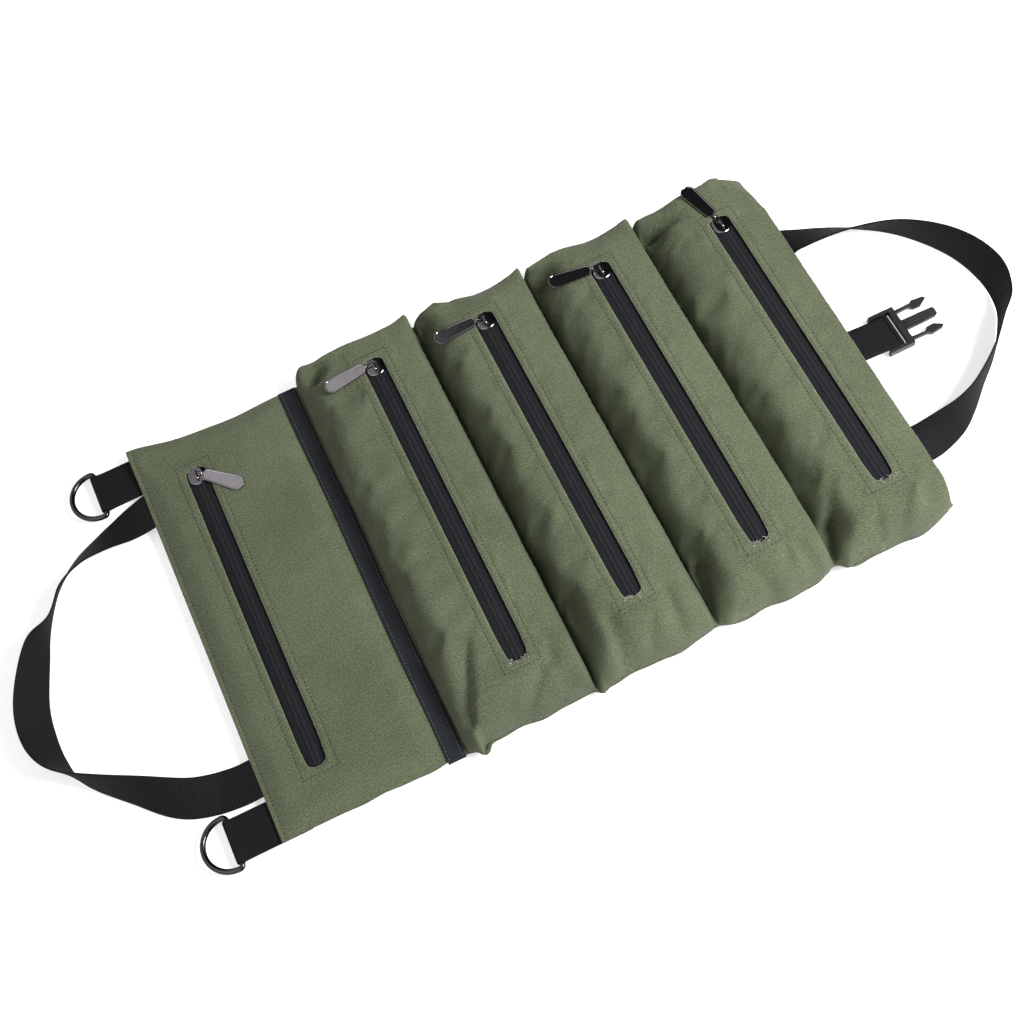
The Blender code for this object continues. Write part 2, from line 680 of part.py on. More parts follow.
def make_buckle_strap():
    """Short webbing from the right-hand edge, folded round the male buckle's bar."""
    hinge = (RIGHT_EDGE, STRAP_CENTRE, SHEET_LEVEL)
    start = (0.0006 + GAP, 0.0)
    bar = (STRAP_REACH, MALE_LEVEL - SHEET_LEVEL)
    mesh = loop_tab_mesh("buckle_strap", bar, start, BUCKLE_BAR, STRAP_WIDTH)
    add_object("buckle_strap", mesh, hinge, finish=webbing_material)


def make_female_buckle():
    """Hollow half of the buckle, mouth towards the D-ring edge; origin on its bar."""
    half = FEMALE_HEIGHT / 2
    back, mouth = -LOOP_OUTER - 0.0008, -0.0300
    base = box("body", (mouth, -RAIL_OUTER - 0.0006, -half), (back, RAIL_OUTER + 0.0006, half))
    steps = [("DIFFERENCE", box("cavity", (mouth - 0.001, -0.0180, -half + 0.0015),
                                (back - 0.0016, 0.0180, half - 0.0015)))]
    window = box("window", (mouth + 0.0065, -0.030, -0.0021), (mouth + 0.0175, 0.030, 0.0021))
    steps.append(("DIFFERENCE", window))
    for side in (-1, 1):
        low, high = sorted((side * RAIL_INNER, side * RAIL_OUTER))
        steps.append(("UNION", box("rail", (back - 0.001, low, -0.0030), (0.0026, high, 0.0030))))
    steps.append(("UNION", rod("bar", (0, 0), BUCKLE_BAR, -RAIL_INNER - 0.001, RAIL_INNER + 0.001,
                               "Y", 16)))
    mesh = combine("buckle_female", base, steps)
    origin = (LEFT_EDGE + FEMALE_BAR_X, STRAP_CENTRE, FEMALE_LEVEL)
    add_object("buckle_female", mesh, origin, finish=plastic_material)


def make_female_strap():
    """Short webbing under the first panel, folded round the female buckle's bar."""
    bar_x = LEFT_EDGE + FEMALE_BAR_X
    level = SHEET_BOTTOM - GAP - 1.15 * WEBBING
    hinge = (bar_x + FEMALE_STRAP_LENGTH, STRAP_CENTRE, level)
    bar = (-FEMALE_STRAP_LENGTH, FEMALE_LEVEL - level)
    mesh = loop_tab_mesh("buckle_female_strap", bar, (0.0, 0.0), BUCKLE_BAR, STRAP_WIDTH)
    add_object("buckle_female_strap", mesh, hinge, finish=webbing_material)


# ---- assembly ----------------------------------------------------------------------------------

def main():
    clear_scene()
    for index in range(len(PANEL_WIDTHS)):
        make_back_panel(index)
        make_pocket_front(index)
        make_zip_tape(index, -1)
        make_zip_tape(index, 1)
    make_zip_pulls()
    make_edge_band()
    make_handles()
    make_d_ring_tabs()
    make_buckle_strap()
    make_male_buckle()
    make_female_strap()
    make_female_buckle()


main()
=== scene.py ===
"""Looks of the zip-pocket tool roll: canvas, webbing, zips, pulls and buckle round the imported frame."""

import json
import math
import random

import bmesh
import bpy
import numpy as np
from mathutils import Matrix, Vector, noise
from mathutils.bvhtree import BVHTree


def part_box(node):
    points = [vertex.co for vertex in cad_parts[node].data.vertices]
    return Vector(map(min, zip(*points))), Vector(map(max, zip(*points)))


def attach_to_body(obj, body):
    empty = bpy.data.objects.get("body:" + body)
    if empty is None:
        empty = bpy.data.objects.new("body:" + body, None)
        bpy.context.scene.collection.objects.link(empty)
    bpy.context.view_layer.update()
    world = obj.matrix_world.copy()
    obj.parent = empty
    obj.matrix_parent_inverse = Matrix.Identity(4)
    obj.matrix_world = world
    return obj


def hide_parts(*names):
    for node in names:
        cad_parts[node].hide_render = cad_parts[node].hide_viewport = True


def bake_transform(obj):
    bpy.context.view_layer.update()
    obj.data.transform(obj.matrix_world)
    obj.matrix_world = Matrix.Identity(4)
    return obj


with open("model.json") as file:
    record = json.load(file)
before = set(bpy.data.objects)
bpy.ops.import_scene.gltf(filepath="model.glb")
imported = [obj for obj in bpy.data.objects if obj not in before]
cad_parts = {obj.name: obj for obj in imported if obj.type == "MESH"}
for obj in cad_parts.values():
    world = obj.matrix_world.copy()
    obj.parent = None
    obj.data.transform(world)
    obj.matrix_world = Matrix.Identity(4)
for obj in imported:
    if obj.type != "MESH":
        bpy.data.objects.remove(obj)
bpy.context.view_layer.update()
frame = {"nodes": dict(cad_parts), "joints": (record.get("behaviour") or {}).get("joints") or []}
MM = 0.001

# ---- places read from the frame ----------------------------------------------------------------

PANELS = 5
TAPE_OVERLAP = 3 * MM                    # zip tape hidden under the canvas on each side
FOLD_GAP = 0.3 * MM


def read_panel(index):
    """Edges, zip window and levels of one panel, from the boxes of its CAD nodes."""
    number = index + 1
    back_low, back_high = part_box(f"back_panel_{number}")
    canvas_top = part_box(f"pocket_{number}_front")[1].z
    left_low, left_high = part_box(f"zip_{number}_left_tape")
    right_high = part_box(f"zip_{number}_right_tape")[1]
    return {
        "left": back_low.x - (FOLD_GAP if index else 0.0),
        "right": back_high.x + (FOLD_GAP if index < PANELS - 1 else 0.0),
        "half": back_high.y,
        "sheet_top": back_high.z,
        "zip": (left_low.x + right_high.x) / 2,
        "window_half": (right_high.x - left_low.x) / 2 - TAPE_OVERLAP,
        "window_low": left_low.y + TAPE_OVERLAP,
        "window_high": left_high.y - TAPE_OVERLAP,
        "tape_top": left_high.z,
        "canvas_top": canvas_top,
    }


PANEL = [read_panel(i) for i in range(PANELS)]
JOINT = {joint["name"]: joint for joint in frame["joints"]}
SHEET_LEVEL = JOINT["fold_23"]["pos_m"][2]
SHEET_HALF_THICKNESS = PANEL[0]["sheet_top"] - SHEET_LEVEL
LEFT_EDGE, RIGHT_EDGE = PANEL[0]["left"], PANEL[-1]["right"]
HALF_WIDTH = PANEL[0]["half"]

# ---- looks -------------------------------------------------------------------------------------

CANVAS_THICKNESS, BACK_THICKNESS = 1.1 * MM, 1.7 * MM
CLOTH_GROWTH, CLOTH_PRESSURE, CLOTH_LIMIT, CLOTH_FRAMES = 0.014, 2.0, 4 * MM, 16
HEM = 5.4 * MM                           # stitch line outside a zip window
WINDOW_CORNER = 6.0 * MM
STITCH_PITCH, STITCH_LENGTH, STITCH_RADIUS = 3.4 * MM, 2.4 * MM, 0.30 * MM
EDGE_RADIUS, FRAY_RADIUS, FRAY_STEP, FRAY_COUNT = 0.26 * MM, 0.20 * MM, 0.9 * MM, 16
KNIT_PITCH = 1.25 * MM
RIB_PITCH, STATION_PITCH = 1.9 * MM, 0.47 * MM        # webbing ribs, and the mesh rows along them
FLOOR_GLOW, AMBIENT = 0.55, 0.42

OLIVE = (0.128, 0.149, 0.089, 1.0)
OLIVE_DARK = (0.066, 0.078, 0.044, 1.0)
OLIVE_BLEACHED = (0.185, 0.200, 0.145, 1.0)
OLIVE_THREAD = (0.030, 0.035, 0.020, 1.0)
WHITE_THREAD = (0.55, 0.56, 0.48, 1.0)
EDGE_GREEN = (0.255, 0.275, 0.200, 1.0)
BAND_OLIVE = (0.10, 0.105, 0.070, 1.0)
BLACK_WEB = (0.0035, 0.0035, 0.0042, 1.0)
BINDING_GREY = (0.0105, 0.0120, 0.0150, 1.0)
BLACK_TAPE = (0.0052, 0.0056, 0.0070, 1.0)
BLACK_KNIT = (0.0190, 0.0195, 0.0230, 1.0)
GUNMETAL = (0.400, 0.372, 0.400, 1.0)
SLIDER_GREY = (0.190, 0.180, 0.195, 1.0)
RING_BLACK = (0.075, 0.075, 0.080, 1.0)
BLACK_PLASTIC = (0.012, 0.012, 0.013, 1.0)


# ---- materials ---------------------------------------------------------------------------------

class Nodes:
    """Small helper that adds and links shader nodes."""

    def __init__(self, name):
        self.mat = bpy.data.materials.new(name)
        self.mat.use_nodes = True
        self.tree = self.mat.node_tree
        self.shader = self.tree.nodes["Principled BSDF"]

    def add(self, kind, **settings):
        node = self.tree.nodes.new(kind)
        for key, value in settings.items():
            if key in node.inputs:
                node.inputs[key].default_value = value
            else:
                setattr(node, key, value)
        return node

    def link(self, source, target):
        self.tree.links.new(source, target)

    def put(self, name, value):
        """Give one of the surface's inputs a plain value or another node's output."""
        socket = self.shader.inputs[name]
        if isinstance(value, (int, float, tuple)):
            socket.default_value = value
        else:
            self.link(value, socket)

    def math(self, operation, first, second=None):
        node = self.add("ShaderNodeMath", operation=operation)
        for socket, value in zip(node.inputs, (first, second)):
            if isinstance(value, (int, float)):
                socket.default_value = value
            elif value is not None:
                self.link(value, socket)
        return node.outputs[0]

    def mix(self, factor, first, second):
        node = self.add("ShaderNodeMix", data_type="RGBA")
        for socket, value in ((node.inputs[0], factor), (node.inputs[6], first),
                              (node.inputs[7], second)):
            if isinstance(value, (int, float, tuple)):
                socket.default_value = value
            else:
                self.link(value, socket)
        return node.outputs[2]

    def bump(self, height, strength, distance, normal=None):
        node = self.add("ShaderNodeBump", Strength=strength, Distance=distance)
        self.link(height, node.inputs["Height"])
        if normal:
            self.link(normal, node.inputs["Normal"])
        return node.outputs[0]

    def noise(self, vector, scale, detail=2.0, roughness=0.5):
        node = self.add("ShaderNodeTexNoise", Scale=scale, Detail=detail, Roughness=roughness)
        self.link(vector, node.inputs["Vector"])
        return node.outputs["Fac"]

    def ramp(self, value, low, high):
        node = self.add("ShaderNodeMapRange")
        self.link(value, node.inputs["Value"])
        node.inputs["From Min"].default_value = low
        node.inputs["From Max"].default_value = high
        return node.outputs[0]

    def wave(self, vector, angle, pitch):
        """Sine ridges of a given pitch in metres, running at an angle in the vector's XY plane."""
        split = self.add("ShaderNodeSeparateXYZ")
        self.link(vector, split.inputs[0])
        u = self.math("MULTIPLY", split.outputs[0], math.cos(angle) * 2 * math.pi / pitch)
        v = self.math("MULTIPLY", split.outputs[1], math.sin(angle) * 2 * math.pi / pitch)
        return self.math("SINE", self.math("ADD", u, v))


def scaled(colour, factor):
    """The colour made lighter or darker, its alpha kept."""
    return tuple(c * factor for c in colour[:3]) + (1.0,)


def canvas_material():
    """Olive twill: diagonal ribs crossed by fine yarns, mottled dye and a slight bloom."""
    n = Nodes("olive_canvas")
    uv = n.add("ShaderNodeUVMap", uv_map="weave").outputs[0]
    place = n.add("ShaderNodeTexCoord").outputs["Object"]
    wobble = n.noise(place, 60.0, 3.0)
    twill = n.wave(uv, math.radians(38), 1.75 * MM)
    yarn = n.wave(uv, math.radians(-52), 1.10 * MM)
    speck = n.noise(uv, 620.0, 3.0, 0.8)
    cloud = n.noise(place, 14.0, 3.0)
    weave = n.math("ADD", n.math("MULTIPLY", twill, 0.6), n.math("MULTIPLY", yarn, 0.4))
    shade = n.math("ADD", n.math("MULTIPLY", weave, 0.07), speck)
    shade = n.math("ADD", shade, n.math("MULTIPLY", cloud, 0.22))
    shade = n.math("ADD", shade, n.math("MULTIPLY", wobble, 0.12))
    colour = n.mix(n.ramp(shade, 0.57, 0.80), OLIVE_DARK, OLIVE)
    bleached = n.mix(n.ramp(speck, 0.62, 0.80), colour, OLIVE_BLEACHED)
    n.put("Base Color", bleached)
    n.put("Roughness", 0.92)
    n.put("Sheen Weight", 0.08)
    n.put("Sheen Roughness", 0.5)
    n.put("Specular IOR Level", 0.25)
    fine = n.bump(weave, 0.55, 0.16 * MM)
    rough = n.bump(speck, 0.45, 0.18 * MM, fine)
    soft = n.bump(wobble, 0.35, 0.5 * MM, rough)
    n.put("Normal", soft)
    return n.mat


def webbing_material(name, colour, contrast):
    """Black webbing: fine warp yarns along the strap, with the ribs themselves in the mesh."""
    n = Nodes(name)
    uv = n.add("ShaderNodeUVMap", uv_map="weave").outputs[0]
    warp = n.wave(uv, 0.0, 1.3 * MM)
    weft = n.wave(uv, math.radians(90), RIB_PITCH)
    speck = n.noise(uv, 1200.0, 2.0, 0.6)
    weave = n.math("MULTIPLY", warp, weft)
    lighter = scaled(colour, 4.0)
    rib = n.math("MULTIPLY", weft, contrast)
    tone = n.math("ADD", n.math("MULTIPLY", weave, 0.12), n.math("ADD", speck, rib))
    tone = n.ramp(tone, 0.42, 1.15)
    n.put("Base Color", n.mix(tone, colour, lighter))
    n.put("Roughness", 0.72)
    n.put("Specular IOR Level", 0.16)
    bump = n.bump(weave, 0.35, 0.14 * MM)
    n.put("Normal", n.bump(speck, 0.3, 0.10 * MM, bump))
    return n.mat


def zip_material(name, colour, pitch):
    """Woven zip tape with very fine cross yarns."""
    n = Nodes(name)
    place = n.add("ShaderNodeTexCoord").outputs["Object"]
    cross = n.wave(place, math.radians(90), pitch)
    along = n.wave(place, 0.0, pitch * 0.9)
    speck = n.noise(place, 1500.0, 2.0, 0.6)
    weave = n.math("MULTIPLY", cross, along)
    lighter = scaled(colour, 2.2)
    tone = n.ramp(n.math("ADD", n.math("MULTIPLY", weave, 0.2), speck), 0.3, 0.9)
    n.put("Base Color", n.mix(tone, colour, lighter))
    n.put("Roughness", 0.72)
    n.put("Specular IOR Level", 0.20)
    n.put("Normal", n.bump(weave, 0.4, 0.10 * MM))
    return n.mat


def metal_material(name, colour, roughness):
    """Black-nickel plating with faint smears and tiny scratches."""
    n = Nodes(name)
    place = n.add("ShaderNodeTexCoord").outputs["Object"]
    smear = n.noise(place, 160.0, 3.0, 0.6)
    grain = n.noise(place, 2600.0, 2.0, 0.6)
    n.put("Base Color", n.mix(smear, colour, scaled(colour, 0.72)))
    n.put("Metallic", 1.0)
    rough = n.math("ADD", n.math("MULTIPLY", smear, roughness * 0.6), roughness * 0.7)
    n.put("Roughness", rough)
    n.put("Normal", n.bump(grain, 0.08, 0.03 * MM))
    return n.mat


def plastic_material():
    """Moulded acetal with a fine spark-eroded grain."""
    n = Nodes("buckle_plastic")
    place = n.add("ShaderNodeTexCoord").outputs["Object"]
    grain = n.noise(place, 3200.0, 2.0, 0.6)
    cloud = n.noise(place, 90.0, 2.0)
    n.put("Base Color", n.mix(cloud, BLACK_PLASTIC, (0.020, 0.020, 0.022, 1.0)))
    rough = n.math("ADD", n.math("MULTIPLY", cloud, 0.15), 0.30)
    n.put("Roughness", rough)
    n.put("Normal", n.bump(grain, 0.15, 0.05 * MM))
    return n.mat


def thread_material(name, colour):
    """Twisted sewing thread."""
    n = Nodes(name)
    place = n.add("ShaderNodeTexCoord").outputs["Object"]
    twist = n.noise(place, 1800.0, 1.0)
    n.put("Base Color", n.mix(twist, scaled(colour, 0.6), colour))
    n.put("Roughness", 0.8)
    return n.mat


def floor_material():
    """White paper sweep that glows a little to the camera, so shadows on it stay faint."""
    n = Nodes("pale_floor")
    place = n.add("ShaderNodeTexCoord").outputs["Object"]
    tone = n.noise(place, 2.0, 2.0)
    n.put("Base Color", n.mix(tone, (0.86, 0.86, 0.86, 1.0), (0.88, 0.88, 0.88, 1.0)))
    n.put("Roughness", 0.8)
    n.put("Emission Color", (1.0, 1.0, 1.0, 1.0))
    ray = n.add("ShaderNodeLightPath")
    glow = n.math("MULTIPLY", ray.outputs["Is Camera Ray"], FLOOR_GLOW)
    n.put("Emission Strength", glow)
    return n.mat


CANVAS = canvas_material()
WEBBING = webbing_material("black_webbing", BLACK_WEB, 0.45)
BINDING = webbing_material("black_binding", BINDING_GREY, 0.04)
TAPE = zip_material("zip_tape", BLACK_TAPE, 0.8 * MM)
KNIT = zip_material("zip_knit", BLACK_KNIT, 0.5 * MM)
ZIP_METAL = metal_material("zip_metal", GUNMETAL, 0.13)
SLIDER_METAL = metal_material("slider_metal", SLIDER_GREY, 0.16)
RING_METAL = metal_material("ring_metal", RING_BLACK, 0.22)
PLASTIC = plastic_material()
THREAD = thread_material("olive_thread", OLIVE_THREAD)
PALE_THREAD = thread_material("pale_thread", WHITE_THREAD)
EDGE_YARN = thread_material("edge_yarn", EDGE_GREEN)
BAND_THREAD = thread_material("band_thread", BAND_OLIVE)


# ---- mesh helpers ------------------------------------------------------------------------------

def new_object(name, vertices, faces, material, uvs=None):
    mesh = bpy.data.meshes.new(name)
    mesh.from_pydata([tuple(v) for v in vertices], [], faces)
    if uvs is not None:
        layer = mesh.uv_layers.new(name="weave")
        for loop in mesh.loops:
            layer.data[loop.index].uv = uvs[loop.vertex_index]
    mesh.shade_smooth()
    mesh.materials.append(material)
    obj = bpy.data.objects.new(name, mesh)
    bpy.context.scene.collection.objects.link(obj)
    return obj


def grid_object(name, points, uvs, material, keep=None):
    """Quad grid from an array of points; faces whose centre `keep` refuses are left out."""
    rows, columns = points.shape[:2]
    flat = points.reshape(-1, 3)
    faces = []
    for i in range(rows - 1):
        for j in range(columns - 1):
            a, b = i * columns + j, (i + 1) * columns + j
            corners = (a, b, b + 1, a + 1)
            if keep is None or keep(flat[list(corners)].mean(0)):
                faces.append(corners)
    return new_object(name, flat, faces, material, uvs.reshape(-1, 2))


def arc_uv(points):
    """Weave coordinates in metres that follow the cloth over its flanks."""
    across, along = np.zeros(points.shape[:2]), np.zeros(points.shape[:2])
    across[1:] = np.cumsum(np.linalg.norm(np.diff(points, axis=0), axis=2), axis=0)
    along[:, 1:] = np.cumsum(np.linalg.norm(np.diff(points, axis=1), axis=2), axis=1)
    middle = points.shape[1] // 2
    return np.stack([across[:, middle][:, None] + 0 * across, along], axis=2)


def object_from_bmesh(name, bm, material):
    mesh = bpy.data.meshes.new(name)
    bm.to_mesh(mesh)
    bm.free()
    mesh.materials.append(material)
    obj = bpy.data.objects.new(name, mesh)
    bpy.context.scene.collection.objects.link(obj)
    return obj


def tube_faces(rings, size, base=0, closed=False):
    """Faces between equal rings of vertices, with both ends capped unless the tube is closed."""
    faces = []
    for r in range(rings if closed else rings - 1):
        ahead = base + (r + 1) % rings * size
        for k in range(size):
            a, b = base + r * size + k, base + r * size + (k + 1) % size
            faces.append((a, b, ahead + (k + 1) % size, ahead + k))
    if not closed:
        last = base + (rings - 1) * size
        faces.append(tuple(base + k for k in reversed(range(size))))
        faces.append(tuple(last + k for k in range(size)))
    return faces


def skin(bm, rings):
    """Faces between rings of bmesh vertices, with both ends capped."""
    for below, above in zip(rings, rings[1:]):
        for k in range(len(below)):
            j = (k + 1) % len(below)
            bm.faces.new((below[k], below[j], above[j], above[k]))
    bm.faces.new(list(reversed(rings[0])))
    bm.faces.new(rings[-1])


def apply_modifiers(obj):
    graph = bpy.context.evaluated_depsgraph_get()
    mesh = bpy.data.meshes.new_from_object(obj.evaluated_get(graph))
    obj.modifiers.clear()
    obj.data = mesh


def thicken(obj, thickness, offset=-1.0):
    shell = obj.modifiers.new("thickness", "SOLIDIFY")
    shell.thickness = thickness
    shell.offset = offset
    apply_modifiers(obj)
    obj.data.shade_smooth()


def attach(obj, body, slot, *nodes):
    """Ride on a body and hide the CAD nodes that the piece stands in for; the slot argument is not used."""
    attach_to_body(obj, body)
    if nodes:
        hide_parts(*nodes)


def smooth(value):
    value = np.clip(value, 0.0, 1.0)
    return value * value * (3 - 2 * value)


def wander(x, y, z, scale, seed):
    """Smooth noise in -1..1 at a point given in metres."""
    return noise.noise(Vector((x * scale + seed * 7.1, y * scale - seed * 3.3, z * scale + seed)))


def even_steps(start, end, spacing):
    count = max(1, round(abs(end - start) / spacing))
    return [start + (end - start) * k / count for k in range(count)]


# ---- zip window --------------------------------------------------------------------------------

WINDOW_OFFSETS = (9.0, 7.4, 6.2, 5.4, 4.6, 2.4)      # millimetres outside the window's edge


def side_gap(y, panel):
    """Half the width of the window, which narrows a little at its near end."""
    taper = smooth((panel["window_low"] + 24 * MM - y) / (24 * MM))
    return panel["window_half"] - (0.7 + 1.0 * float(taper)) * MM


def window_span(panel):
    """Y of the window's middle, and half its length."""
    low, high = panel["window_low"], panel["window_high"]
    return (low + high) / 2, (high - low) / 2


def window_outline(panel):
    """Points round the window's edge, one way round."""
    middle, reach = window_span(panel)
    rows = []
    for y in np.linspace(-reach, reach, 121):
        into_corner = min(max(abs(y) - reach + WINDOW_CORNER, 0.0), WINDOW_CORNER)
        cut = WINDOW_CORNER - math.sqrt(WINDOW_CORNER ** 2 - into_corner ** 2)
        rows.append((side_gap(middle + y, panel) - cut, middle + y))
    right = [(panel["zip"] + x, y) for x, y in rows]
    left = [(panel["zip"] - x, y) for x, y in reversed(rows)]
    return right + left + right[:1]


def rounded_gap(x, y, panel):
    """Signed distance from the window's rounded outline, negative inside."""
    half = side_gap(y, panel)
    middle, reach = window_span(panel)
    dx = abs(x - panel["zip"]) - (half - WINDOW_CORNER)
    dy = abs(y - middle) - (reach - WINDOW_CORNER)
    outside = math.hypot(max(dx, 0.0), max(dy, 0.0))
    return outside + min(max(dx, dy), 0.0) - WINDOW_CORNER


def snap_window(obj, panel):
    """Move the ragged edge of the opening onto the rounded window outline."""
    bm = bmesh.new()
    bm.from_mesh(obj.data)
    reach = 4.0 * MM
    for vert in bm.verts:
        if not vert.is_boundary:
            continue
        if abs(rounded_gap(vert.co.x, vert.co.y, panel)) > reach:
            continue
        for _ in range(4):
            gap = rounded_gap(vert.co.x, vert.co.y, panel)
            step = 0.05 * MM
            slope_x = (rounded_gap(vert.co.x + step, vert.co.y, panel) - gap) / step
            slope_y = (rounded_gap(vert.co.x, vert.co.y + step, panel) - gap) / step
            size = max(slope_x ** 2 + slope_y ** 2, 1e-6)
            vert.co.x -= gap * slope_x / size
            vert.co.y -= gap * slope_y / size
    bm.to_mesh(obj.data)
    bm.free()


def column_places(panel, left_top, right_top):
    """Columns across a pocket's flat top, lined up with its window."""
    half, zip_x = panel["window_half"], panel["zip"]
    offsets = [o * MM for o in WINDOW_OFFSETS]
    places = even_steps(left_top, zip_x - half - offsets[0], 3.4 * MM)
    places += [zip_x - half - o for o in offsets]
    places += even_steps(zip_x - half, zip_x + half, 2.3 * MM)
    places += [zip_x + half] + [zip_x + half + o for o in reversed(offsets)]
    places += even_steps(zip_x + half + offsets[0], right_top, 3.4 * MM)[1:]
    return places + [right_top]


def row_places(panel, low, high):
    """Rows along a pocket between two levels, lined up with its window's ends."""
    offsets = [o * MM for o in WINDOW_OFFSETS]
    ends = [1.5 * MM, 3.0 * MM, 5.0 * MM, 7.5 * MM, 10.5 * MM]
    first, last = panel["window_low"], panel["window_high"]
    places = even_steps(low, first - offsets[0], 3.0 * MM) + [first - o for o in offsets]
    places += [first] + [first + e for e in ends]
    places += even_steps(first + ends[-1], last - ends[-1], 3.6 * MM)[1:]
    places += [last - e for e in reversed(ends)] + [last]
    places += [last + o for o in reversed(offsets)]
    places += even_steps(last + offsets[0], high, 3.0 * MM)[1:]
    return places + [high]


def hem_relief(x, y, panel):
    """Raised double layer between the window and its stitch line, with a groove at the stitches."""
    gap = rounded_gap(x, y, panel)
    lip = 0.65 * MM * (1 - float(smooth((gap - HEM) / (1.2 * MM))))
    groove = 0.60 * MM * math.exp(-((gap - HEM) / (0.9 * MM)) ** 2)
    return lip - groove if gap > -2 * MM else 0.0


# ---- stuffed pockets ---------------------------------------------------------------------------

SEAM_INSET = 1.2 * MM
WINDOW_MARGIN = 9.5 * MM                 # flat canvas kept round a zip window
FLANK_ROWS = 12
LEFT_FLANK, RIGHT_FLANK = 26 * MM, 9 * MM             # usual widths of the rounded flanks
COLUMN_PITCH = 3.2 * MM

# All in millimetres, x from the panel's left fold and y along the sheet.
# softness: how gently the left flank rises. left, right: (y, width of that flank).
# far, near: (share across, length of that end's slope).
# bumps: (x, y, reach in x, reach in y, height). creases: (x, y, x, y, reach on the left of the
# line, reach on its right, depth at the start, depth at the end).
POCKETS = {
    1: {"softness": 0.50,
        "left": ((-178, 20), (-120, 23), (140, 24), (163, 26), (169, 11), (178, 10)),
        "right": ((-178, 5), (-140, 7), (150, 7), (166, 5), (178, 3)),
        "far": ((0, 3), (0.5, 4), (1, 3)), "near": ((0, 25), (0.5, 33), (1, 40)),
        "bumps": ((13, 177, 9, 9, 4.5), (75, 177, 16, 12, -3), (109, 177, 9, 12, 6.5),
                  (18, 165, 9, 8, -17), (35, 128, 9, 12, -4), (92, -168, 8, 7, -5)),
        "creases": ((35, -112, 14, -164, 10, 2.5, 3, 6), (84, -148, 56, -176, 4, 4, 1.5, 3.5),
                    (92, -128, 88, -150, 4, 5, 0.5, 2), (100, -70, 104, -128, 3, 5, 0.0, 1.5))},
    2: {"softness": 0.66,
        "left": ((-178, 22), (-120, 28), (150, 28), (164, 24), (171, 9), (178, 8)),
        "right": ((-178, 5), (-160, 12), (-140, 15), (-60, 12), (140, 9), (160, 5), (178, 4)),
        "far": ((0, 3), (0.55, 9), (1, 4)), "near": ((0, 24), (0.5, 29), (1, 30)),
        "bumps": ((20, 178, 12, 10, 8), (68, 177, 25, 13, -13), (100, 177, 5, 9, 4),
                  (5, 165, 7, 9, -16), (7, 30, 6, 70, -7), (9, -118, 6, 26, -12)),
        "creases": ((27, -143, 24, -176, 2, 9, 3, 6), (77, -140, 76, -178, 7, 5, 1.5, 5),
                    (62, -150, 48, -178, 4, 3, 0.5, 2.5), (30, 176, 52, 158, 4, 3, 2.5, 0.5))},
    3: {"softness": 0.66,
        "left": ((-178, 12), (-165, 24), (-120, 28), (145, 28), (166, 24), (173, 4), (178, 4)),
        "right": ((-178, 5), (-150, 8), (150, 8), (178, 5)),
        "far": ((0, 3), (0.5, 6), (1, 5)), "near": ((0, 22), (0.5, 28), (1, 26)),
        "bumps": ((4, 177, 12, 8, -3), (65, 177, 26, 13, -12), (96, 177, 5, 9, 3),
                  (10, 160, 12, 10, -26), (8, -20, 7, 80, -8), (9, -125, 7, 26, -12),
                  (35, -172, 7, 5, 2)),
        "creases": ((13, -134, 0, -168, 14, 1.6, 13, 13), (80, -154, 86, -178, 5, 5, 2.5, 4.5),
                    (75, -130, 69, -158, 4, 4, 0.5, 2.5), (40, -158, 50, -176, 3, 4, 1, 3))},
    4: {"softness": 0.66,
        "left": ((-178, 14), (-160, 22), (-120, 30), (140, 30), (151, 26), (161, 6), (178, 6)),
        "right": ((-178, 6), (-150, 5), (125, 5), (134, 9), (144, 13), (157, 22), (178, 24)),
        "far": ((0, 7), (0.25, 12), (0.5, 11), (0.8, 8), (1, 8)),
        "near": ((0, 24), (0.5, 26), (1, 22)),
        "bumps": ((25, 172, 14, 10, -5), (74, 174, 6, 8, 3), (96, 172, 12, 12, -8), (86, -163, 9, 8, -5),
                  (6, -60, 7, 60, -5), (10, 150, 9, 7, -12), (12, -150, 9, 14, -14)),
        "creases": ((4, 157, 35, 149, 2, 9, 15, 1), (12, -147, 3, -167, 12, 1.6, 13, 12),
                    (23, -118, 12, -143, 4, 4, 0.5, 3), (88, -143, 62, -178, 4, 4, -1, -2.5),
                    (45, -150, 38, -176, 4, 4, 0.5, 2.5))},
}

# where the sheet's edges are pulled in (+) or stick out (-), and where its ends curl up:
# (x in millimetres from the left edge of the sheet, reach, amount)
NEAR_PINCHES = ((167.5, 4, -7), (267, 4, -3.5), (368, 9, 3.5), (471, 10, 4.5), (579, 13, 8))
FAR_PINCHES = ((0, 32, -9), (95, 22, 1.7), (575, 14, 3))
NEAR_CURLS = ((368, 16, 5), (471, 16, 5), (577, 22, 5))
FAR_CURLS = ((0, 60, 4), (264, 16, 9), (368, 16, 5), (471, 14, 2))


def mounds(x, places):
    """Sum of soft bumps along the sheet, in metres."""
    away = (np.asarray(x) - LEFT_EDGE) / MM
    return sum(height * MM * np.exp(-((away - at) / reach) ** 2) for at, reach, height in places)


def near_edge(x):
    """Y of the sheet's edge at the near end: pinched at the folds, wavy between them."""
    wave = 0.9 * np.sin(np.asarray(x) * 118) + 0.5 * np.sin(np.asarray(x) * 211 + 1)
    return -HALF_WIDTH + mounds(x, NEAR_PINCHES) + (wave - 1.0) * MM * smooth((x - LEFT_EDGE) / 0.15)


def far_edge(x):
    return HALF_WIDTH - mounds(x, FAR_PINCHES)


def to_outline(x, y):
    """Y of a point of the ideal rectangle after the soft sheet's ends are pulled in or out."""
    far = (far_edge(x) - HALF_WIDTH) * smooth((y - 110 * MM) / (67 * MM))
    near = (near_edge(x) + HALF_WIDTH) * smooth((-y - 110 * MM) / (67 * MM))
    return y + far + near


